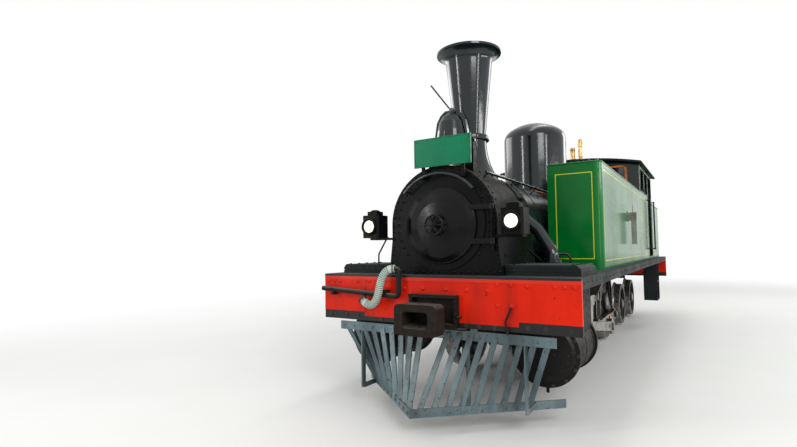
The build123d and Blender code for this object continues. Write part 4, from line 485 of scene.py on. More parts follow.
# %% Finish of every CAD node
COUPLED_A, COUPLED_R = {"leading": 1950, "driving": 3350, "trailing": 4750}, 580
BOGIE_A, BOGIE_R = {"front_bogie": 6450, "rear_bogie": 7850}, 375
FINISHES = {
    beam_red: ("front_buffer_beam", "rear_buffer_beam"),
    tank_green: ("left_side_tank", "right_side_tank", "left_cab_side", "right_cab_side",
                 "coal_bunker"),
    board_green: ("name_board",),
    smokebox_black: ("smokebox", "smokebox_saddle", "front_brackets", "marker_lamps"),
    door_black: ("smokebox_door",),
    reflection_tinted_black: ("steam_pipes", "boiler", "chimney", "steam_dome", "bell", "handrails",
                   "cab_front", "cab_rear", "left_tank_lid", "right_tank_lid"),
    platform_black: ("running_boards", "end_platforms", "valve_chest_covers", "cab_roof",
                     "cab_steps"),
    angle_black: ("beam_angles",),
    frame_black: ("main_frame", "axle_boxes", "springs", "brake_gear", "left_cylinder",
                  "right_cylinder", "bogie_frame", "vacuum_pipe"),
    catcher_grey: ("cowcatcher",),
    rusty_cast: ("front_coupler", "rear_coupler"),
    rod_steel: ("slide_bars", "left_crosshead", "right_crosshead", "left_connecting_rod",
                "right_connecting_rod", "left_coupling_rod", "right_coupling_rod",
                "tank_bracket"),
    brass: ("safety_valve", "backhead_fittings"),
    copper: ("window_frames",),
    window_clear: ("window_glass",),
    boards: ("cab_floor",),
    mint_hose: ("vacuum_hose",),
}
for axles, tread in ((COUPLED_A, COUPLED_R), (BOGIE_A, BOGIE_R)):
    for name, a in axles.items():
        FINISHES[wheel_finish(f"{name}_wheelset_paint", a, tread)] = (f"{name}_wheelset",)
finished = set()
for material, names in FINISHES.items():
    for name in names:
        finished.add(name)
        for slot in nodes[name].material_slots:
            slot.material = material
print(len(finished), "nodes finished; left over:", sorted(set(nodes) - finished))

# %% [markdown]
# ## The vacuum hose
#
# A rubber brake hose hangs beside the coupler, from the elbow on top of the pipe to a fitting that
# holds its lower end. It is the one soft thing here and it follows a smooth NURBS line: a few
# control points, and a curve of order 3 that never kinks.

# %% Route of the hose
HOSE_ROUTE = (
    (-62, -372, 1290), (-75, -412, 1290), (-92, -455, 1262), (-104, -487, 1205),
    (-110, -505, 1135), (-112, -520, 1065), (-110, -545, 1000), (-104, -585, 960),
    (-96, -635, 950), (-88, -685, 968), (-82, -715, 992),
)
HOSE_DIAMETER = 0.074

route = bpy.data.curves.new("hose_route", "CURVE")
route.dimensions = "3D"
route.resolution_u = 16
line = route.splines.new("NURBS")
line.points.add(len(HOSE_ROUTE) - 1)
for point, place in zip(line.points, HOSE_ROUTE):
    point.co = (*spot(*place), 1)
line.order_u = 3
line.use_endpoint_u = True
route_object = bpy.data.objects.new("hose_route", route)
scene.collection.objects.link(route_object)
graph = bpy.context.evaluated_depsgraph_get()
walked = bpy.data.meshes.new_from_object(route_object.evaluated_get(graph))
hose_path = [v.co.copy() for v in walked.vertices]
hose_length = sum((q - p).length for p, q in zip(hose_path, hose_path[1:]))
bpy.data.objects.remove(route_object)
print("hose", round(hose_length, 3), "m over", len(hose_path), "points")

# %% [markdown]
# ## Trees that grow pieces
#
# Everything that repeats or follows a line is made by Geometry Nodes. A carrier mesh holds loose
# lines and, on each point, the way a head should face. The tree runs on it as a modifier, its
# result is kept as a plain mesh, and the carrier is thrown away.

# %% Helpers for Geometry Nodes
def new_tree(name, *inputs):
    """An empty Geometry Nodes tree and the outputs of its input node."""
    tree = bpy.data.node_groups.new(name, "GeometryNodeTree")
    tree.interface.new_socket("Geometry", in_out="INPUT", socket_type="NodeSocketGeometry")
    for label, kind in inputs:
        tree.interface.new_socket(label, in_out="INPUT", socket_type="NodeSocket" + kind)
    tree.interface.new_socket("Geometry", in_out="OUTPUT", socket_type="NodeSocketGeometry")
    return tree, tree.nodes.new("NodeGroupInput").outputs


def close_tree(tree, geometry, material):
    whole = put(tree, "GeometryNodeRealizeInstances", Geometry=geometry).outputs[0]
    coloured = put(tree, "GeometryNodeSetMaterial", Geometry=whole, Material=material).outputs[0]
    put(tree, "NodeGroupOutput", Geometry=coloured)


def smooth(tree, geometry):
    return put(tree, "GeometryNodeSetShadeSmooth", Geometry=geometry).outputs[0]


def as_curve(tree, mesh):
    return put(tree, "GeometryNodeMeshToCurve", Mesh=mesh).outputs[0]


def stepped(tree, curve, step):
    """The curve with a point at every step."""
    return put(tree, "GeometryNodeResampleCurve", {"mode": "LENGTH"}, Curve=curve,
               Length=step).outputs[0]


def named(tree, name, kind):
    return put(tree, "GeometryNodeInputNamedAttribute", {"data_type": kind}, Name=name).outputs[0]


def settle(piece, body):
    """Puts a finished piece in the scene, on the body that it moves with."""
    scene.collection.objects.link(piece)
    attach(piece, body)
    return piece


def grown(name, carrier, tree, values, body="locomotive"):
    """Runs a tree on a carrier mesh and keeps the result as a plain mesh."""
    holder = bpy.data.objects.new(name + "_carrier", carrier)
    modifier = holder.modifiers.new("grow", "NODES")
    modifier.node_group = tree
    for item in tree.interface.items_tree:
        if item.in_out == "INPUT" and item.name in values:
            modifier[item.identifier] = values[item.name]
    scene.collection.objects.link(holder)
    graph = bpy.context.evaluated_depsgraph_get()
    mesh = bpy.data.meshes.new_from_object(holder.evaluated_get(graph))
    bpy.data.objects.remove(holder)
    mesh.name = name
    return settle(bpy.data.objects.new(name, mesh), body)


def carrier_mesh(name, runs):
    """Loose lines with facings. A run is its points, their facings and whether it closes."""
    points, edges, facings = [], [], []
    for places, aims, closed in runs:
        first = len(points)
        points += places
        facings += aims
        edges += [(first + i, first + i + 1) for i in range(len(places) - 1)]
        if closed:
            edges.append((len(points) - 1, first))
    mesh = bpy.data.meshes.new(name)
    mesh.from_pydata(points, edges, [])
    layer = mesh.attributes.new("facing", "FLOAT_VECTOR", "POINT")
    for item, aim in zip(layer.data, facings):
        item.vector = aim
    return mesh


print("ready to grow pieces")

# %% [markdown]
# The hose's ribs are a radius that swells and shrinks along the line, 17 mm from rib to rib, and
# stays even in the cuffs at both ends. Six points to a rib are enough for a round wave.

# %% Ribbed hose
RIB_PITCH, RIB_DEPTH, CUFF, POINTS_PER_RIB = 0.017, 0.005, 0.055, 6
tree, given = new_tree("ribbed_hose", ("Radius", "Float"), ("Length", "Float"),
                       ("Material", "Material"))
curve = stepped(tree, as_curve(tree, given["Geometry"]), RIB_PITCH / POINTS_PER_RIB)
along = put(tree, "GeometryNodeSplineParameter").outputs["Length"]
wave = reckon(tree, "SINE", times(tree, along, 2 * pi / RIB_PITCH))
from_end = reckon(tree, "MINIMUM", along, reckon(tree, "SUBTRACT", given["Length"], along))
ribbed = reckon(tree, "GREATER_THAN", from_end, CUFF)
swell = times(tree, times(tree, reckon(tree, "SUBTRACT", wave, 1.0), RIB_DEPTH / 2), ribbed)
curve = put(tree, "GeometryNodeSetCurveRadius", Curve=curve,
            Radius=reckon(tree, "ADD", given["Radius"], swell)).outputs[0]
depth = times(tree, times(tree, reckon(tree, "SUBTRACT", 1.0, wave), 0.5), ribbed)
curve = put(tree, "GeometryNodeStoreNamedAttribute", {"data_type": "FLOAT", "domain": "POINT"},
            Geometry=curve, Name="groove", Value=depth).outputs[0]
ring = put(tree, "GeometryNodeCurvePrimitiveCircle", Resolution=28, Radius=1.0).outputs[0]
skin = put(tree, "GeometryNodeCurveToMesh", Curve=curve, Profile_Curve=ring,
           Scale=named(tree, "radius", "FLOAT"), Fill_Caps=True).outputs[0]
close_tree(tree, smooth(tree, skin), given["Material"])
hose_line = carrier_mesh("hose_line", [(hose_path, [UP] * len(hose_path), False)])
hose = grown("ribbed_vacuum_hose", hose_line, tree,
             {"Radius": HOSE_DIAMETER / 2, "Length": hose_length, "Material": mint_hose})
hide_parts("vacuum_hose")
print("hose skin", len(hose.data.polygons), "faces")

# %% [markdown]
# Bolts, rivets and screws all stand on something in rows. This tree walks a line, sets a point at
# every pitch and puts a head there that stands along the point's facing. A rivet is a dome, and a
# bolt is a six-sided nut on a washer, turned by a random amount with a fixed seed, as no fitter
# lines them up. Half of each head is sunk in the plate.

# %% Tree for rows of heads
HEAD_SEED = 7
fastener_tree, given = new_tree(
    "rows_of_heads", ("Pitch", "Float"), ("Even", "Bool"), ("Radius", "Float"),
    ("Height", "Float"), ("Hexagon", "Bool"), ("Seed", "Int"), ("Material", "Material"))
tree = fastener_tree
either = {"input_type": "GEOMETRY"}
evenly = stepped(tree, as_curve(tree, given["Geometry"]), given["Pitch"])
places = put(tree, "GeometryNodeSwitch", either, Switch=given["Even"], i1=given["Geometry"],
             i2=evenly).outputs[0]
rivet = put(tree, "GeometryNodeMeshUVSphere", Segments=10, Rings=6, Radius=1.0).outputs[0]
nut = put(tree, "GeometryNodeMeshCylinder", Vertices=6, Radius=0.92, Depth=1.6).outputs[0]
washer = put(tree, "GeometryNodeMeshCylinder", Vertices=14, Radius=1.25, Depth=0.5).outputs[0]
bolt = tree.nodes.new("GeometryNodeJoinGeometry")
for part in (nut, washer):
    tree.links.new(part, bolt.inputs[0])
head = put(tree, "GeometryNodeSwitch", either, Switch=given["Hexagon"], i1=smooth(tree, rivet),
           i2=bolt.outputs[0]).outputs[0]
stand = put(tree, "FunctionNodeAlignRotationToVector", {"axis": "Z"},
            Vector=named(tree, "facing", "FLOAT_VECTOR")).outputs[0]
spin = put(tree, "FunctionNodeRandomValue", {"data_type": "FLOAT"}, i2=0.0, i3=pi / 3,
           Seed=given["Seed"]).outputs[1]
spin = put(tree, "FunctionNodeAxisAngleToRotation", Axis=UP, Angle=spin).outputs[0]
stand = put(tree, "FunctionNodeRotateRotation", {"rotation_space": "LOCAL"}, Rotation=stand,
            Rotate_By=spin).outputs[0]
size = put(tree, "ShaderNodeCombineXYZ", X=given["Radius"], Y=given["Radius"],
           Z=given["Height"]).outputs[0]
heads = put(tree, "GeometryNodeInstanceOnPoints", Points=places, Instance=head, Rotation=stand,
            Scale=size).outputs[0]
close_tree(tree, heads, given["Material"])


def heads_on(name, material, runs, radius, height, pitch=None, bolts=False,
             body="locomotive"):
    """Rivets or bolts: at every pitch along the runs, or on the runs' own points."""
    piece = grown(name, carrier_mesh(name, runs), fastener_tree, {
        "Pitch": (pitch or 100) / 1000, "Even": pitch is not None, "Radius": radius / 1000,
        "Height": height / 1000, "Hexagon": bolts, "Seed": HEAD_SEED, "Material": material}, body)
    print(name, len(piece.data.polygons), "faces")


# %% [markdown]
# Rows come in a few forms: a straight line between two places, loose dots, a hoop that stands
# across the locomotive, and a level ring. `side_row` gives the same straight line on both sides.

# %% Lines that carry heads
def row(start, end, facing):
    return [spot(*start), spot(*end)], [Vector(facing)] * 2, False


def side_row(side, y, start, end):
    """A row on an upright face at y, between two places given as a and h. It faces outward."""
    return row((start[0], side * y, start[1]), (end[0], side * y, end[1]), (0, side, 0))


def dots(places, facing):
    return [spot(*p) for p in places], [Vector(facing)] * len(places), False


def hoop(a, y, h, radius, facing=None, start=0, end=360, steps=48):
    """Points on an upright circle. Without a facing they face away from its middle."""
    full = end - start >= 360
    count = steps if full else steps + 1
    turns = [radians(start + (end - start) * i / steps) for i in range(count)]
    places = [spot(a, y + radius * cos(t), h + radius * sin(t)) for t in turns]
    aims = [Vector(facing) if facing else Vector((0, cos(t), sin(t))) for t in turns]
    return places, aims, full


def level_ring(a, y, h, radius, steps):
    """Points on a level circle that face up."""
    turns = [2 * pi * (i + 0.5) / steps for i in range(steps)]
    places = [spot(a + radius * cos(t), y + radius * sin(t), h) for t in turns]
    return places, [UP] * steps, True


def on_barrel(a, side, radius, degrees):
    """A place at a radius from the boiler's axis, at an angle above its middle height."""
    turn = radians(degrees)
    return a, side * radius * cos(turn), AXIS_H + radius * sin(turn)


print("a hoop of rivets starts at", hoop(0, 0, AXIS_H, 500)[0][0])

# %% [markdown]
# Pipes, stays, beading and cables are all round bar with bent corners. The tree rounds a line's
# corners with Fillet Curve and sweeps a circle along it.

# %% Tree for bent round bar
BEND_STEPS, BAR_SIDES = 8, 12
bar_tree, given = new_tree("bent_round_bar", ("Radius", "Float"), ("Bend", "Float"),
                           ("Material", "Material"))
curve = put(bar_tree, "GeometryNodeFilletCurve", {"mode": "POLY"},
            Curve=as_curve(bar_tree, given["Geometry"]), Count=BEND_STEPS, Radius=given["Bend"],
            Limit_Radius=True).outputs[0]
ring = put(bar_tree, "GeometryNodeCurvePrimitiveCircle", Resolution=BAR_SIDES,
           Radius=given["Radius"]).outputs[0]
bar = put(bar_tree, "GeometryNodeCurveToMesh", Curve=curve, Profile_Curve=ring,
          Fill_Caps=True).outputs[0]
close_tree(bar_tree, smooth(bar_tree, bar), given["Material"])


def round_bar(name, material, lines, radius, bend, closed=False):
    runs = [([spot(*p) for p in line], [UP] * len(line), closed) for line in lines]
    piece = grown(name, carrier_mesh(name, runs), bar_tree,
                  {"Radius": radius / 1000, "Bend": bend / 1000, "Material": material})
    piece.data.set_sharp_from_angle(angle=radians(40))
    print(name, len(piece.data.polygons), "faces")


# %% [markdown]
# Pieces that don't repeat are built point by point in a bmesh: blocks with their edges taken off,
# shapes turned like work in a lathe, and thin raised frames on a flat face.

# %% Blocks, turned shapes and frames
def new_piece(name, material, shape, body="locomotive", sharp=32):
    bmesh.ops.recalc_face_normals(shape, faces=shape.faces)
    mesh = bpy.data.meshes.new(name)
    shape.to_mesh(mesh)
    shape.free()
    mesh.materials.append(material)
    mesh.shade_smooth()
    mesh.set_sharp_from_angle(angle=radians(sharp))
    print(name, len(mesh.polygons), "faces")
    return settle(bpy.data.objects.new(name, mesh), body)


def add_block(shape, a, y, h, bevel=2):
    """Block between two places in each direction, its edges rounded by a bevel."""
    middle = spot(sum(a) / 2, sum(y) / 2, sum(h) / 2)
    size = [abs(far - near) / 1000 for near, far in (a, y, h)]
    matrix = Matrix.Translation(middle) @ Matrix.Diagonal((*size, 1))
    made = bmesh.ops.create_cube(shape, size=1, matrix=matrix)
    # corners share their edges: a dict drops what comes twice and keeps the order
    edges = list(dict.fromkeys(e for v in made["verts"] for e in v.link_edges))
    bmesh.ops.bevel(shape, geom=edges, offset=bevel / 1000, segments=2, affect="EDGES",
                    profile=0.5)


def add_turned(shape, place, direction, outline, steps=24):
    """Turned shape. The outline gives radii and distances along the direction, in millimetres,
    and makes a ring with a hole where it ends as it began."""
    direction = Vector(direction).normalized()
    across = direction.orthogonal().normalized()
    beside = direction.cross(across)
    turns = [2 * pi * i / steps for i in range(steps)]
    closed = outline[0] == outline[-1]
    rings = []
    for radius, reach in outline[:-1] if closed else outline:
        centre = place + direction * reach / 1000
        rings.append([shape.verts.new(centre + (across * cos(t) + beside * sin(t)) * radius / 1000)
                      for t in (turns if radius else turns[:1])])
    for one, two in zip(rings, rings[1:] + rings[:1] if closed else rings[1:]):
        for i in range(steps):
            corners = [one[i % len(one)], one[(i + 1) % len(one)],
                       two[(i + 1) % len(two)], two[i % len(two)]]
            unique = list(dict.fromkeys(corners))
            if len(unique) > 2:
                shape.faces.new(unique)


def join_loops(shape, loops):
    """Faces between each closed loop of points and the next, and from the last to the first."""
    for one, two in zip(loops, loops[1:] + loops[:1]):
        for i in range(len(one)):
            j = (i + 1) % len(one)
            shape.faces.new([one[i], one[j], two[j], two[i]])


def add_frame(shape, place, u, v, width, lift=0.8, sunk=-0.4):
    """Thin rectangle on a flat face. place(u, v, lift) gives a point, lifted off the face."""
    (u0, u1), (v0, v1) = u, v
    outer = [(u0, v0), (u1, v0), (u1, v1), (u0, v1)]
    inner = [(u0 + width, v0 + width), (u1 - width, v0 + width), (u1 - width, v1 - width),
             (u0 + width, v1 - width)]
    join_loops(shape, [[shape.verts.new(place(*p, height)) for p in loop] for loop, height in
                       ((outer, sunk), (outer, lift), (inner, lift), (inner, sunk))])


def strap_outline(inner, outer, half, round_r, round_w):
    """Closed outline of a flat hoop whose outer edges are rounded a little."""
    shoulder = outer - round_r
    return ((inner, -half), (shoulder, -half), (outer, round_w - half), (outer, half - round_w),
            (shoulder, half), (inner, half), (inner, -half))


print("helpers are ready")

# %% [markdown]
# ## Buffer beams
#
# The red beams are plates held by rivets whose round heads stand about a centimetre proud. On the
# outer panels they sit on the patch plates. The black strips below are bolted on, and so is the
# coupler's pocket, with small ledges at its foot. Both beams carry the same pieces, facing opposite
# ways, so one loop makes them.

# %% Rivets and bolts of the beams
PATCH_THICKNESS, POCKET_PROUD, POCKET_Y, LEDGE_DEPTH = 4, 40, 219, 58
TOP_ROW_Y, TOP_ROW_H = (588, 699), (1166, 993)
MIDDLE_ROW_Y, MIDDLE_ROW_H = (115, 311, 500), 1111
PATCH_ROW_Y, PATCH_ROW_H = (837, 1054, 1126, 1201), 1160
STRIP_BOLTS = ((300, 812), (419, 812), (560, 812), (836, 830), (977, 830), (1169, 830))
POCKET_BOLTS_H = (845, 905, 960, 1016)
LEDGES = (((110, 315), (776, 790)), ((238, 268), (878, 892)))
for end, face, facing in (("front", 0, FORWARD), ("rear", REAR_BEAM_A, BACKWARD)):
    patch_face = face - PATCH_THICKNESS * facing.x
    pocket_face = face - POCKET_PROUD * facing.x
    rivets = []
    for side in SIDES:
        rivets += [(face, side * y, h) for y in TOP_ROW_Y for h in TOP_ROW_H]
        rivets += [(face, side * y, MIDDLE_ROW_H) for y in MIDDLE_ROW_Y]
        rivets += [(patch_face, side * y, PATCH_ROW_H) for y in PATCH_ROW_Y]
    heads_on(f"{end}_beam_rivets", beam_red, [dots(rivets, facing)], 19, 11)
    strip = [(face, side * y, h) for side in SIDES for y, h in STRIP_BOLTS]
    heads_on(f"{end}_strip_bolts", dark_bolt, [dots(strip, facing)], 18, 12,
             bolts=True)
    pocket = [(pocket_face, side * POCKET_Y, h) for side in SIDES for h in POCKET_BOLTS_H]
    heads_on(f"{end}_coupler_bolts", rusty_cast, [dots(pocket, facing)], 15, 11,
             bolts=True)
    shape = bmesh.new()
    for side in SIDES:
        for reach, heights in LEDGES:
            add_block(shape, (face, face - LEDGE_DEPTH * facing.x), [side * y for y in reach],
                      heights, 3)
    new_piece(f"{end}_coupler_ledges", rusty_cast, shape)

# %% [markdown]
# A forged hook hangs on the left half of the front beam. It is bar stock heated and bent, so its
# line is drawn once and the bent-bar tree gives it thickness. A red bolt holds it.

# %% Hook on the beam
HOOK = ((-14, 708, 1000), (-20, 692, 950), (-22, 657, 872), (-24, 662, 820), (-28, 679, 768))
HOOK_BOLT = ((0, -1), (24, -1), (24, 5), (15, 8), (15, 22), (9, 27), (0, 28))
HOOK_BOLT_Y, HOOK_BOLT_H = 710, 1000
round_bar("beam_hook", rusty_cast, [HOOK], 9, 30)
shape = bmesh.new()
add_turned(shape, spot(0, HOOK_BOLT_Y, HOOK_BOLT_H), FORWARD, HOOK_BOLT, 20)
new_piece("hook_bolt", beam_red, shape)

# %% [markdown]
# ## Cowcatcher
#
# Each bar is bolted to the straight top bar and again to the pointed rail. The rail runs back at an
# angle, so its bolts face along the rail's own normal, and its bolts stand closer together than
# those above, because the bars lean toward the nose.

# %% Bolts of the cowcatcher
NOSE_A, WING_A, WING_Y = -450, 440, 1000
BARS, BAR_PITCH, MIDDLE_BAR_Y, TOP_BOLT_H, RAIL_BOLT_H = 9, 108, 27, 730, 155
LEAN, LEAN_SHIFT = 0.82, 70
rail_normal = Vector((WING_Y, WING_A - NOSE_A, 0)).normalized()
top_bolts, rail_runs = [], []
for side in SIDES:
    rail_bolts = []
    for i in range(BARS):
        top_y = MIDDLE_BAR_Y + BAR_PITCH * (i + 1)
        foot_y = LEAN * top_y - LEAN_SHIFT
        top_bolts.append((0, side * top_y, TOP_BOLT_H))
        foot_a = NOSE_A + (WING_A - NOSE_A) * foot_y / WING_Y
        rail_bolts.append((foot_a, side * foot_y, RAIL_BOLT_H))
    rail_runs.append(dots(rail_bolts, (rail_normal.x, side * rail_normal.y, 0)))
heads_on("cowcatcher_bolts", catcher_grey,
         [dots(top_bolts, FORWARD)] + rail_runs, 13, 9, bolts=True)

# %% [markdown]
# ## Smokebox front
#
# Two hoops of rivets join the front plate to the drum, and rows follow the plate's sides down to
# its foot. More hoops ring the drum itself. Points face forward on the plate and outward on the
# drum, and the saddle below is bolted along its sides.

# %% Rivets of the smokebox
PLATE_A, PLATE_HOOPS = 165, ((462, -38, 218), (516, 0, 180))
PLATE_SIDES = (((516, 1640), (516, 1560)), ((520, 1490), (552, 1262)))
PLATE_FOOT = ((-500, 1256), (500, 1256))
DRUM_R, DRUM_ENDS, SEAM, SEAM_DEGREES = 537, (232, 1128), (300, 1060), 12
SADDLE_A, SADDLE_ROW = (300, 700, 1100), ((572, 1300), (556, 1400))


def plate_row(side, ends):
    """A row on the front plate, between two places given as y and h."""
    return row(*((PLATE_A, side * y, h) for y, h in ends), FORWARD)


plate_runs = [hoop(PLATE_A, 0, AXIS_H, r, FORWARD, start, end) for r, start, end in PLATE_HOOPS]
plate_runs += [plate_row(side, ends) for side in SIDES for ends in PLATE_SIDES]
plate_runs.append(plate_row(1, PLATE_FOOT))
heads_on("smokebox_plate_rivets", smokebox_black, plate_runs, 13, 9, pitch=74)
drum_runs = [hoop(a, 0, AXIS_H, DRUM_R, None, -8, 188) for a in DRUM_ENDS]
seam_turn = radians(SEAM_DEGREES)
drum_runs += [row(*(on_barrel(a, side, DRUM_R, SEAM_DEGREES) for a in SEAM),
                  (0, side * cos(seam_turn), sin(seam_turn))) for side in SIDES]
heads_on("smokebox_drum_rivets", smokebox_black, drum_runs, 11, 7, pitch=66)
saddle_runs = [row(*((a, side * y, h) for y, h in SADDLE_ROW), (0, side, 0))
               for side in SIDES for a in SADDLE_A]
heads_on("saddle_bolts", smokebox_black, saddle_runs, 11, 7, pitch=95, bolts=True)

# %% [markdown]
# The door is a dished plate on two long straps. Rivets hold the straps, a bead stiffens the rim and
# a nut holds the hand wheel. All of this swings with the door, so it rides on the door's body.

# %% Trim of the smokebox door
DOOR_H, STRAP_A, RIM_A, WHEEL_A = 1680, 126.7, 138.7, 2.7
STRAP_H, STRAP_RIVETS_Y = (1530, 1830), (180, 270, 360, 440)
RIM = ((351, -6), (351, 3), (344, 7), (335, 3), (335, -6), (351, -6))
WHEEL_NUT = ((0, -2), (26, -2), (26, 4), (20, 8), (20, 22), (10, 27), (0, 28))
strap = [(STRAP_A, y, h) for h in STRAP_H for y in STRAP_RIVETS_Y]
heads_on("door_strap_rivets", door_black, [dots(strap, FORWARD)], 10, 6,
         body="smokebox_door")
shape = bmesh.new()
add_turned(shape, spot(RIM_A, 0, DOOR_H), FORWARD, RIM, 96)
add_turned(shape, spot(WHEEL_A, 0, DOOR_H), FORWARD, WHEEL_NUT)
new_piece("door_rim_and_nut", door_black, shape, body="smokebox_door")

# %% [markdown]
# ## Marker lamps
#
# Each lamp shows a bright lens in a turned rim, with a vent cap on top. The lens is a shallow dome
# that glows, and the right-hand lamp's cable drops to the footplate.

# %% Lamps and their cable
LAMP_H, LAMP_Y, LENS_A, LAMP_RIM_A, VENT_A, VENT_UP = 1690, 710, 14, 8, 125, 150
LENS = ((0, 7), (20, 6.4), (40, 4.4), (56, 1), (62, -2), (62, -4), (0, -4))
LAMP_RIM = ((64, -1), (80, -1), (82, 4), (78, 8), (68, 9), (64, 6), (64, -1))
VENT_CAP = ((0, -1), (46, -1), (46, 6), (30, 16), (0, 18))
CABLE = ((190, -603, 1582), (220, -650, 1560), (250, -758, 1422), (252, -762, 1330),
         (250, -760, 1316))
for side, name in zip(SIDES, ("left", "right")):
    shape = bmesh.new()
    add_turned(shape, spot(LENS_A, side * LAMP_Y, LAMP_H), FORWARD, LENS, 40)
    new_piece(f"{name}_lamp_lens", lens_light, shape, sharp=60)
    shape = bmesh.new()
    add_turned(shape, spot(LAMP_RIM_A, side * LAMP_Y, LAMP_H), FORWARD, LAMP_RIM, 40)
    add_turned(shape, spot(VENT_A, side * LAMP_Y, LAMP_H + VENT_UP), UP, VENT_CAP)
    new_piece(f"{name}_lamp_rim", smokebox_black, shape)
round_bar("lamp_cable", frame_black, [CABLE], 8, 60)

# %% [markdown]
# ## Name board, chimney and dome
#
# The board's edge is a thin raised strip with a bolt at each corner, and its face stays blank.

# %% Name board
BOARD_A, BOARD_Y, BOARD_H = 100, (-240, 333), (2221, 2486)
BOARD_EDGE, BOLT_INSET = 10, 24
shape = bmesh.new()
add_frame(shape, lambda y, h, lift: spot(BOARD_A - lift, y, h), BOARD_Y, BOARD_H, BOARD_EDGE, 3)
new_piece("board_edge", board_green, shape)
corners = [(BOARD_A, y, h) for y in (BOARD_Y[0] + BOLT_INSET, BOARD_Y[1] - BOLT_INSET)
           for h in (BOARD_H[0] + BOLT_INSET, BOARD_H[1] - BOLT_INSET)]
heads_on("board_bolts", board_green, [dots(corners, FORWARD)], 9, 6, bolts=True)

# %% [markdown]
# The chimney's skirt is bolted down all round. Its outline is an arc through three points, and the
# bolts stand where the skirt is 26 mm above the drum, found by walking outward along that arc. Two
# beads ring the chimney above. A thin copper ring runs round the dome's foot along its flange, and
# it is a painted highlight: it stands for the flange's edge catching light.

# %% Chimney bolts and beads, and the dome's foot
CHIMNEY_A, DOME_A = 860, 3150
SKIRT = ((350, 2077), (218, 2297), (165, 2592))
SKIRT_BOLTS, WALK_FROM, WALK_TO, WALK_STEP, SKIRT_GAP, AIM_RISE = 12, 170, 345, 2, 26, 1.1
CHIMNEY_BEADS = ((2626, 176), (2588, 188))
DOME_HIGHLIGHT_R, FLANGE_R, HIGHLIGHT_LIFT, HIGHLIGHT_POINTS = 433, 541, 4, 72


def skirt_height(radius):
    """Height of the skirt's outline, a circle through its three points."""
    (x1, y1), (x2, y2), (x3, y3) = SKIRT
    d = 2 * (x1 * (y2 - y3) + x2 * (y3 - y1) + x3 * (y1 - y2))
    squares = [x * x + y * y for x, y in SKIRT]
    cx = (squares[0] * (y2 - y3) + squares[1] * (y3 - y1) + squares[2] * (y1 - y2)) / d
    cy = (squares[0] * (x3 - x2) + squares[1] * (x1 - x3) + squares[2] * (x2 - x1)) / d
    reach = sqrt((x1 - cx) ** 2 + (y1 - cy) ** 2)
    return cy - sqrt(max(0.0, reach ** 2 - (radius - cx) ** 2))


def barrel_top(radius, y):
    """Height of a barrel's surface at a distance y from its middle."""
    return AXIS_H + sqrt(radius ** 2 - y ** 2)


skirt_places, skirt_aims = [], []
for i in range(SKIRT_BOLTS):
    turn = 2 * pi * (i + 0.5) / SKIRT_BOLTS
    radius = WALK_FROM
    while radius < WALK_TO:
        if skirt_height(radius) < barrel_top(DRUM_R, radius * sin(turn)) + SKIRT_GAP:
            break
        radius += WALK_STEP
    skirt_places.append(spot(CHIMNEY_A - radius * cos(turn), radius * sin(turn),
                             skirt_height(radius)))
    skirt_aims.append(Vector((cos(turn), sin(turn), AIM_RISE)).normalized())
heads_on("chimney_bolts", reflection_tinted_black, [(skirt_places, skirt_aims, False)], 13,
         10, bolts=True)
# a copper ring along the dome flange's edge, a painted highlight where that edge catches light
foot = []
for i in range(HIGHLIGHT_POINTS):
    turn = 2 * pi * i / HIGHLIGHT_POINTS
    y = DOME_HIGHLIGHT_R * sin(turn)
    foot.append((DOME_A - DOME_HIGHLIGHT_R * cos(turn), y, barrel_top(FLANGE_R, y) + HIGHLIGHT_LIFT))
round_bar("dome_flange_highlight", copper, [foot], 5, 0, closed=True)
shape = bmesh.new()
for h, r in CHIMNEY_BEADS:
    bead = ((r - 8, -8), (r + 4, -8), (r + 7, 0), (r + 4, 8), (r - 8, 8), (r - 8, -8))
    add_turned(shape, spot(CHIMNEY_A, 0, h), UP, bead, 64)
new_piece("chimney_beads", reflection_tinted_black, shape)

# %% [markdown]
# ## Side tanks, cab and bunker
#
# Yellow lining frames every green panel. A painted line has almost no thickness, but a flat ribbon
# that stands 0.8 mm proud renders crisply and exports as a real shape. `add_frame` draws it on any
# flat face that a small function describes.

# %% Lining
LINE, TANK_FRONT_A, PANEL_FOOT_H = 10, 1620, 1315
SIDE_PANELS = (((1735, 5095), 2300), ((5205, 6405), 2300), ((7205, 8450), 2215))
FRONT_PANEL, REAR_PANEL = ((663, 1052), (1338, 2268)), ((-1030, 1030), (PANEL_FOOT_H, 2215))
shape = bmesh.new()
for side in SIDES:
    add_frame(shape, lambda y, h, lift: spot(TANK_FRONT_A - lift, side * y, h), *FRONT_PANEL,
              LINE)
    for reach, top in SIDE_PANELS:
        add_frame(shape, lambda a, h, lift: spot(a, side * (SHEET_Y + lift), h), reach,
                  (PANEL_FOOT_H, top), LINE)
add_frame(shape, lambda y, h, lift: spot(BUNKER_REAR_A + lift, y, h), *REAR_PANEL, LINE)
new_piece("yellow_lining", lining_yellow, shape)

# %% [markdown]
# Sheets are riveted along their edges, where angle bars stiffen them from inside. Half-round
# beading covers the raw edges of the cab's openings and of the bunker's top.

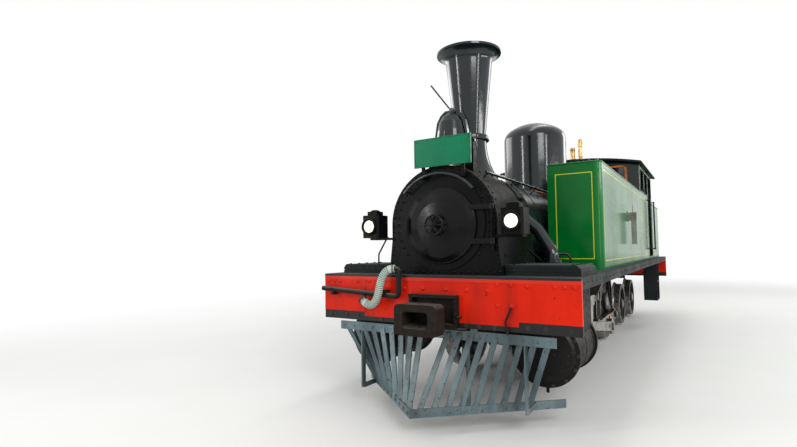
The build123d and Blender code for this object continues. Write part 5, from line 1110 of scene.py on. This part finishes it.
# %% Rivets and beading of the cab and bunker
FOOT_ROW_H, SHEET_PITCH = 1252, 78
CAB_POSTS_A, CAB_TOP_H, CAB_ROW_A = (5172, 7128), 2824, (5200, 7120)
BUNKER_POST_A, BUNKER_BACK_A, BUNKER_ROW_A = 7165, 8472, (7200, 8470)
BUNKER_TOP_H, BUNKER_LIP_A, BEADING_Y = 2300, 7156, 1141
OPENINGS = (((5260, 5780), (2400, 2790)), ((5860, 6370), (2400, 2790)),
            ((6450, 7050), (1275, 2790)))
cab_runs, bunker_runs = [], []
for side in SIDES:
    cab_runs += [side_row(side, SHEET_Y, (a, 1270), (a, 2820)) for a in CAB_POSTS_A]
    cab_runs += [side_row(side, SHEET_Y, *((a, h) for a in CAB_ROW_A))
                 for h in (FOOT_ROW_H, CAB_TOP_H)]
    bunker_runs += [
        side_row(side, SHEET_Y, (BUNKER_POST_A, 1262), (BUNKER_POST_A, 2280)),
        side_row(side, SHEET_Y, *((a, FOOT_ROW_H) for a in BUNKER_ROW_A)),
        side_row(side, SHEET_Y, (BUNKER_BACK_A, 1270), (BUNKER_BACK_A, 2270)),
        row((BUNKER_REAR_A, side * 1052, 1262), (BUNKER_REAR_A, side * 1052, 2270), BACKWARD)]
bunker_runs.append(row((BUNKER_REAR_A, -1030, FOOT_ROW_H), (BUNKER_REAR_A, 1030, FOOT_ROW_H),
                       BACKWARD))
heads_on("cab_rivets", tank_green, cab_runs, 6, 3.5, pitch=SHEET_PITCH)
heads_on("bunker_rivets", tank_green, bunker_runs, 6, 3.5, pitch=SHEET_PITCH)

rim = [(a, y, BUNKER_TOP_H) for a, y in (
    (BUNKER_LIP_A, SHEET_Y), (BUNKER_REAR_A, SHEET_Y), (BUNKER_REAR_A, -SHEET_Y),
    (BUNKER_LIP_A, -SHEET_Y))]
round_bar("bunker_rim", reflection_tinted_black, [rim], 13, 80)
openings = [[(a, side * BEADING_Y, h) for a, h in ((a0, h0), (a1, h0), (a1, h1), (a0, h1))]
            for side in SIDES for (a0, a1), (h0, h1) in OPENINGS]
round_bar("cab_opening_beads", reflection_tinted_black, openings, 7, 60, closed=True)

# %% [markdown]
# The roof is a sheet bent to a wide arc. Three flat straps follow the same arc over its joints, and
# a row of rivets runs along each side of a strap.

# %% Roof straps
ROOF_R, ROOF_CROWN, ROOF_HALF_WIDTH = 5401, 3000, 1195
ROOF_STRAPS_A, STRAP_HALF, STRAP_LIFT, STRAP_SUNK, RIVET_LINE = (5180, 6170, 7150), 22, 4, -1, 12
ARC_STEPS, RIVETED_SHARE = 24, 0.97
half_angle = asin(ROOF_HALF_WIDTH / ROOF_R)


def on_roof(a, turn, lift):
    reach = ROOF_R + lift
    return spot(a, reach * sin(turn), ROOF_CROWN - ROOF_R + reach * cos(turn))


shape = bmesh.new()
roof_runs = []
for a in ROOF_STRAPS_A:
    arcs = [half_angle * (2 * i / ARC_STEPS - 1) for i in range(ARC_STEPS + 1)]
    rows = [[shape.verts.new(on_roof(a + edge, turn, lift)) for turn in arcs]
            for edge, lift in ((-STRAP_HALF, STRAP_SUNK), (-STRAP_HALF, STRAP_LIFT),
                               (STRAP_HALF, STRAP_LIFT), (STRAP_HALF, STRAP_SUNK))]
    for one, two in zip(rows, rows[1:] + rows[:1]):
        for i in range(ARC_STEPS):
            shape.faces.new([one[i], one[i + 1], two[i + 1], two[i]])
    for i in (0, ARC_STEPS):
        shape.faces.new([r[i] for r in rows])
    turns = [half_angle * RIVETED_SHARE * (2 * i / ARC_STEPS - 1) for i in range(ARC_STEPS + 1)]
    for offset in (-RIVET_LINE, RIVET_LINE):
        roof_runs.append(([on_roof(a + offset, t, STRAP_LIFT) for t in turns],
                          [Vector((0, sin(t), cos(t))) for t in turns], False))
new_piece("roof_straps", platform_black, shape)
heads_on("roof_rivets", platform_black, roof_runs, 6, 4, pitch=80)

# %% [markdown]
# The end windows have turned frames held by small screws, set on a rounded rectangle. A strip along
# each eave keeps rain off the doorway.

# %% Window screws and rain strips
WINDOW_Y, WINDOW_H, WINDOW_CORNER = (495, 945), (2445, 2825), 62
WINDOW_FACES = ((5138, FORWARD), (7162, BACKWARD))
STRIP_A = (6380, 7120)
STRIP_PARTS = (((1150, 1168), (2846, 2870), 3), ((1136, 1158), (2846, 2854), 2))


def rounded_loop(face_a, y, h, corner, steps=6):
    """Points round a rectangle on an upright face across the cab, with round corners."""
    places = []
    for cy, ch, first in ((y[1] - corner, h[1] - corner, 0), (y[0] + corner, h[1] - corner, 90),
                          (y[0] + corner, h[0] + corner, 180),
                          (y[1] - corner, h[0] + corner, 270)):
        turns = [radians(first + 90 * i / steps) for i in range(steps + 1)]
        places += [spot(face_a, cy + corner * cos(t), ch + corner * sin(t)) for t in turns]
    return places


screw_runs = []
for side in SIDES:
    for face_a, facing in WINDOW_FACES:
        loop = rounded_loop(face_a, sorted(side * y for y in WINDOW_Y), WINDOW_H, WINDOW_CORNER)
        screw_runs.append((loop, [facing] * len(loop), True))
heads_on("window_screws", brass, screw_runs, 4.5, 2.5, pitch=68)
shape = bmesh.new()
for side in SIDES:
    for reach, heights, bevel in STRIP_PARTS:
        add_block(shape, STRIP_A, [side * y for y in reach], heights, bevel)
new_piece("rain_strips", platform_black, shape)

# %% [markdown]
# ## Footplate, valve chests and pipes
#
# The footplate's edge angle is riveted on, the valve chest covers are bolted down in two rows, and
# a ring of bolts holds each steam pipe's flange. Small pipes and stays are bent round bar.

# %% Bolts on the footplate and the pipes beside the smokebox
EDGE_ROW = ((90, 1188), (8710, 1188))
CHEST_A, CHEST_Y, CHEST_TOP_H = (275, 420, 565, 710, 830), (640, 1135), 1320
STEAM_PIPE_A, STEAM_PIPE_Y, FLANGE_H, FLANGE_BOLTS_R = 900, 800, 1350, 76
FRONT_PIPE = ((1550, 630, 1393), (1550, 792, 1393), (1550, 821, 1345), (1550, 821, 1228))
STAY = ((566, 1452), (690, 1345), (690, 1318))
heads_on("footplate_edge_rivets", platform_black,
         [side_row(side, BEAM_HALF, *EDGE_ROW) for side in SIDES], 9, 5, pitch=165)
chest = [(a, side * y, CHEST_TOP_H) for side in SIDES for a in CHEST_A for y in CHEST_Y]
heads_on("valve_chest_bolts", platform_black, [dots(chest, UP)], 13, 9, bolts=True)
flanges = [level_ring(STEAM_PIPE_A, side * STEAM_PIPE_Y, FLANGE_H, FLANGE_BOLTS_R, 8)
           for side in SIDES]
heads_on("steam_pipe_bolts", smokebox_black, flanges, 9, 8, bolts=True)
round_bar("tank_front_pipe", frame_black, [FRONT_PIPE], 12, 34)
round_bar("steam_pipe_stays", smokebox_black,
          [[(STEAM_PIPE_A, side * y, h) for y, h in STAY] for side in SIDES], 11, 20)

# %% [markdown]
# Round knobs carry the handrails along the boiler, and each boiler band is pulled tight by a bolt
# on either side.

# %% Knobs and band bolts of the boiler
KNOBS_A, KNOB_R, KNOB_DEGREES = (400, 1130, 1870, 2610), 592, 52
BANDS_A, BAND_R, BAND_DEGREES = (1527, 2377, 3717, 3987), 530, 60
knobs = [on_barrel(a, side, KNOB_R, KNOB_DEGREES) for side in SIDES for a in KNOBS_A]
heads_on("handrail_knobs", reflection_tinted_black, [dots(knobs, UP)], 22, 22)
band_bolts = [on_barrel(a, side, BAND_R, BAND_DEGREES) for a in BANDS_A for side in SIDES]
heads_on("boiler_band_bolts", reflection_tinted_black, [dots(band_bolts, UP)], 8, 8,
         bolts=True)

# %% [markdown]
# ## Cylinders, rods and wheels
#
# Nuts ring each cylinder's covers. The rear cover has none at its top, where the slide bar stands.
# Three flat bands hold the cladding.

# %% Cylinder nuts and bands
CYLINDER_Y, AXLE_H, COVER_NUTS_R = 865, COUPLED_R, 271
FRONT_COVER_A, REAR_COVER_A, CYLINDER_BANDS_A = 340, 1090, (420, 715, 1010)
CLADDING_BAND = strap_outline(inner=262, outer=269, half=20, round_r=1, round_w=3)
nut_runs = []
shape = bmesh.new()
for side in SIDES:
    y = side * CYLINDER_Y
    nut_runs.append(hoop(FRONT_COVER_A, y, AXLE_H, COVER_NUTS_R, FORWARD, steps=14))
    nut_runs.append(hoop(REAR_COVER_A, y, AXLE_H, COVER_NUTS_R, BACKWARD, 120, 420, steps=11))
    for a in CYLINDER_BANDS_A:
        add_turned(shape, spot(a, y, AXLE_H), BACKWARD, CLADDING_BAND, 72)
new_piece("cylinder_bands", frame_black, shape)
heads_on("cylinder_nuts", dark_bolt, nut_runs, 13, 12, bolts=True)

# %% [markdown]
# The rods carry brass oil cups over their bearings. The crank pins stand where the cranks point at
# rest, 90 degrees apart, and the crosshead's place follows from the connecting rod's length, as in
# any slider crank. Each cup rides on its rod, so it moves with it.

# %% Oil cups on the rods
CRANK, ROD_LENGTH = 315, 1585
CRANK_DEGREES = {1: 225, -1: 315}
COUPLING_Y, CUP_LIFT, BIG_END_LIFT = 690, 88, 105
CUP = ((0, -6), (9, -6), (9, 4), (17, 8), (18, 30), (14, 35), (6, 38), (6, 44), (0, 45))


def crank_place(a, side):
    turn = radians(CRANK_DEGREES[side])
    return a - CRANK * cos(turn), AXLE_H + CRANK * sin(turn)


for side, name in zip(SIDES, ("left", "right")):
    shape = bmesh.new()
    for a in COUPLED_A.values():
        pin_a, pin_h = crank_place(a, side)
        add_turned(shape, spot(pin_a, side * COUPLING_Y, pin_h + CUP_LIFT), UP, CUP, 16)
    new_piece(f"{name}_coupling_rod_cups", brass, shape, f"{name}_coupling_rod")
    pin_a, pin_h = crank_place(COUPLED_A["driving"], side)
    cross_a = pin_a - sqrt(ROD_LENGTH ** 2 - (pin_h - AXLE_H) ** 2)
    along_rod = (spot(pin_a, 0, pin_h) - spot(cross_a, 0, AXLE_H)).normalized()
    upright = Vector((-along_rod.z, 0, along_rod.x))
    upright = upright if upright.z > 0 else -upright
    big_end = spot(pin_a, side * CYLINDER_Y, pin_h)
    shape = bmesh.new()
    add_turned(shape, big_end + upright * (BIG_END_LIFT / 1000), upright, CUP, 16)
    new_piece(f"{name}_connecting_rod_cup", brass, shape, f"{name}_connecting_rod")

# %% [markdown]
# Turned caps close the axle ends. The outer crank pins end in six-sided nuts, which are the same
# turned shape made with six steps. They all ride on their wheelset and turn with it.

# %% Caps on the axles and nuts on the crank pins
AXLE_END_Y, PIN_END_Y = 645, 744
AXLE_CAP = ((0, -2), (78, -2), (78, 2), (70, 5), (40, 5), (34, 2), (12, 2), (8, -1), (0, -1))
PIN_NUT = ((0, -2), (34, -2), (34, 8), (28, 12), (14, 12), (12, 18), (0, 19))
BOGIE_CAP = ((0, -2), (62, -2), (62, 2), (55, 5), (30, 5), (26, 2), (10, 2), (6, -1), (0, -1))
for name, a in COUPLED_A.items():
    shape = bmesh.new()
    for side in SIDES:
        add_turned(shape, spot(a, side * AXLE_END_Y, AXLE_H), sideways(side), AXLE_CAP, 40)
        if name != "driving":
            pin_a, pin_h = crank_place(a, side)
            add_turned(shape, spot(pin_a, side * PIN_END_Y, pin_h), sideways(side), PIN_NUT, 6)
    new_piece(f"{name}_axle_caps", rod_steel, shape, f"{name}_wheelset")
for name, a in BOGIE_A.items():
    shape = bmesh.new()
    for side in SIDES:
        add_turned(shape, spot(a, side * AXLE_END_Y, BOGIE_R), sideways(side), BOGIE_CAP, 36)
    new_piece(f"{name}_axle_caps", rod_steel, shape, f"{name}_wheelset")

# %% [markdown]
# ## Frames
#
# Plate frames are stitched to their stretchers with upright rows of rivets. The bogie's are rivets
# too, but they ride on the bogie, because it swings under the cab.

# %% Rivets of the frames
FRAME_Y, FRAME_ROWS = 455, ((310, 760, 1120), (1310, 660, 1120), (2650, 720, 1120),
                            (8490, 890, 1190))
BOGIE_FRAME_Y, BOGIE_ENDS_A, BOGIE_END_H = 394, (6222, 8078), (440, 540)
BOGIE_ROW = ((6700, 480), (7600, 480))
frame_runs = [side_row(side, FRAME_Y, (a, low), (a, high))
              for side in SIDES for a, low, high in FRAME_ROWS]
heads_on("frame_rivets", frame_black, frame_runs, 9, 6, pitch=70)
bogie_runs = []
for side in SIDES:
    bogie_runs += [side_row(side, BOGIE_FRAME_Y, *((a, h) for h in BOGIE_END_H))
                   for a in BOGIE_ENDS_A]
    bogie_runs.append(side_row(side, BOGIE_FRAME_Y, *BOGIE_ROW))
heads_on("bogie_rivets", frame_black, bogie_runs, 9, 6, pitch=50, body="bogie")

# %% [markdown]
# ## Hose clips
#
# A flat steel clip grips the hose's cuff at each end, along the hose's own direction there.

# %% Clips on the hose
CLIP_POINTS = ((3, 6), (-4, -7))
CLIP = strap_outline(inner=36.2, outer=39.6, half=9, round_r=0.6, round_w=2)
shape = bmesh.new()
for at, toward in CLIP_POINTS:
    heading = (hose_path[toward] - hose_path[at]).normalized()
    add_turned(shape, hose_path[at], heading, CLIP, 40)
clips = new_piece("hose_clips", rod_steel, shape)
print("hose declared at", round(hose_length, 3), "m")

# %% [markdown]
# ## Inside the cab
#
# The gauge has a white face with plain tick marks and a needle, and the fire door gets its latch.

# %% Gauge and fire door
DIAL_A, GAUGE_Y, GAUGE_H = 5490, 130, 2150
DIAL, NEEDLE_BOSS = ((0, -1), (60, -1), (60, 1), (0, 1)), ((0, -1), (6, -1), (6, 4), (0, 5))
TICKS, TICK_R, FIRST_TICK, TICK_STEP, TICK_A, TICK_HALF = 11, 50, 225, 27, (5490.6, 5492), 4
NEEDLE_A, NEEDLE_FOOT, NEEDLE_TIP, MARK_HALF_WIDTH = (5491, 5493), 6, 38, 1.5
LATCH_BARS = (((5478, 5492), (-178, -60), (1508, 1532)), ((5478, 5500), (60, 150), (1512, 1528)))


def mark_width(y):
    return y - MARK_HALF_WIDTH, y + MARK_HALF_WIDTH


shape = bmesh.new()
add_turned(shape, spot(DIAL_A, GAUGE_Y, GAUGE_H), BACKWARD, DIAL, 36)
new_piece("gauge_face", gauge_white, shape)
shape = bmesh.new()
# the boss comes before the blocks: faces made after a bevel are stored in another order each run
add_turned(shape, spot(NEEDLE_A[0], GAUGE_Y, GAUGE_H), BACKWARD, NEEDLE_BOSS, 12)
for i in range(TICKS):
    turn = radians(FIRST_TICK - TICK_STEP * i)
    h = GAUGE_H + TICK_R * sin(turn)
    add_block(shape, TICK_A, mark_width(GAUGE_Y + TICK_R * cos(turn)),
              (h - TICK_HALF, h + TICK_HALF), 0.3)
add_block(shape, NEEDLE_A, mark_width(GAUGE_Y), (GAUGE_H - NEEDLE_FOOT, GAUGE_H + NEEDLE_TIP), 0.4)
new_piece("gauge_marks", dark_bolt, shape)
shape = bmesh.new()
for a, y, h in LATCH_BARS:
    add_block(shape, a, y, h, 3)
new_piece("fire_door_latch", rusty_cast, shape)
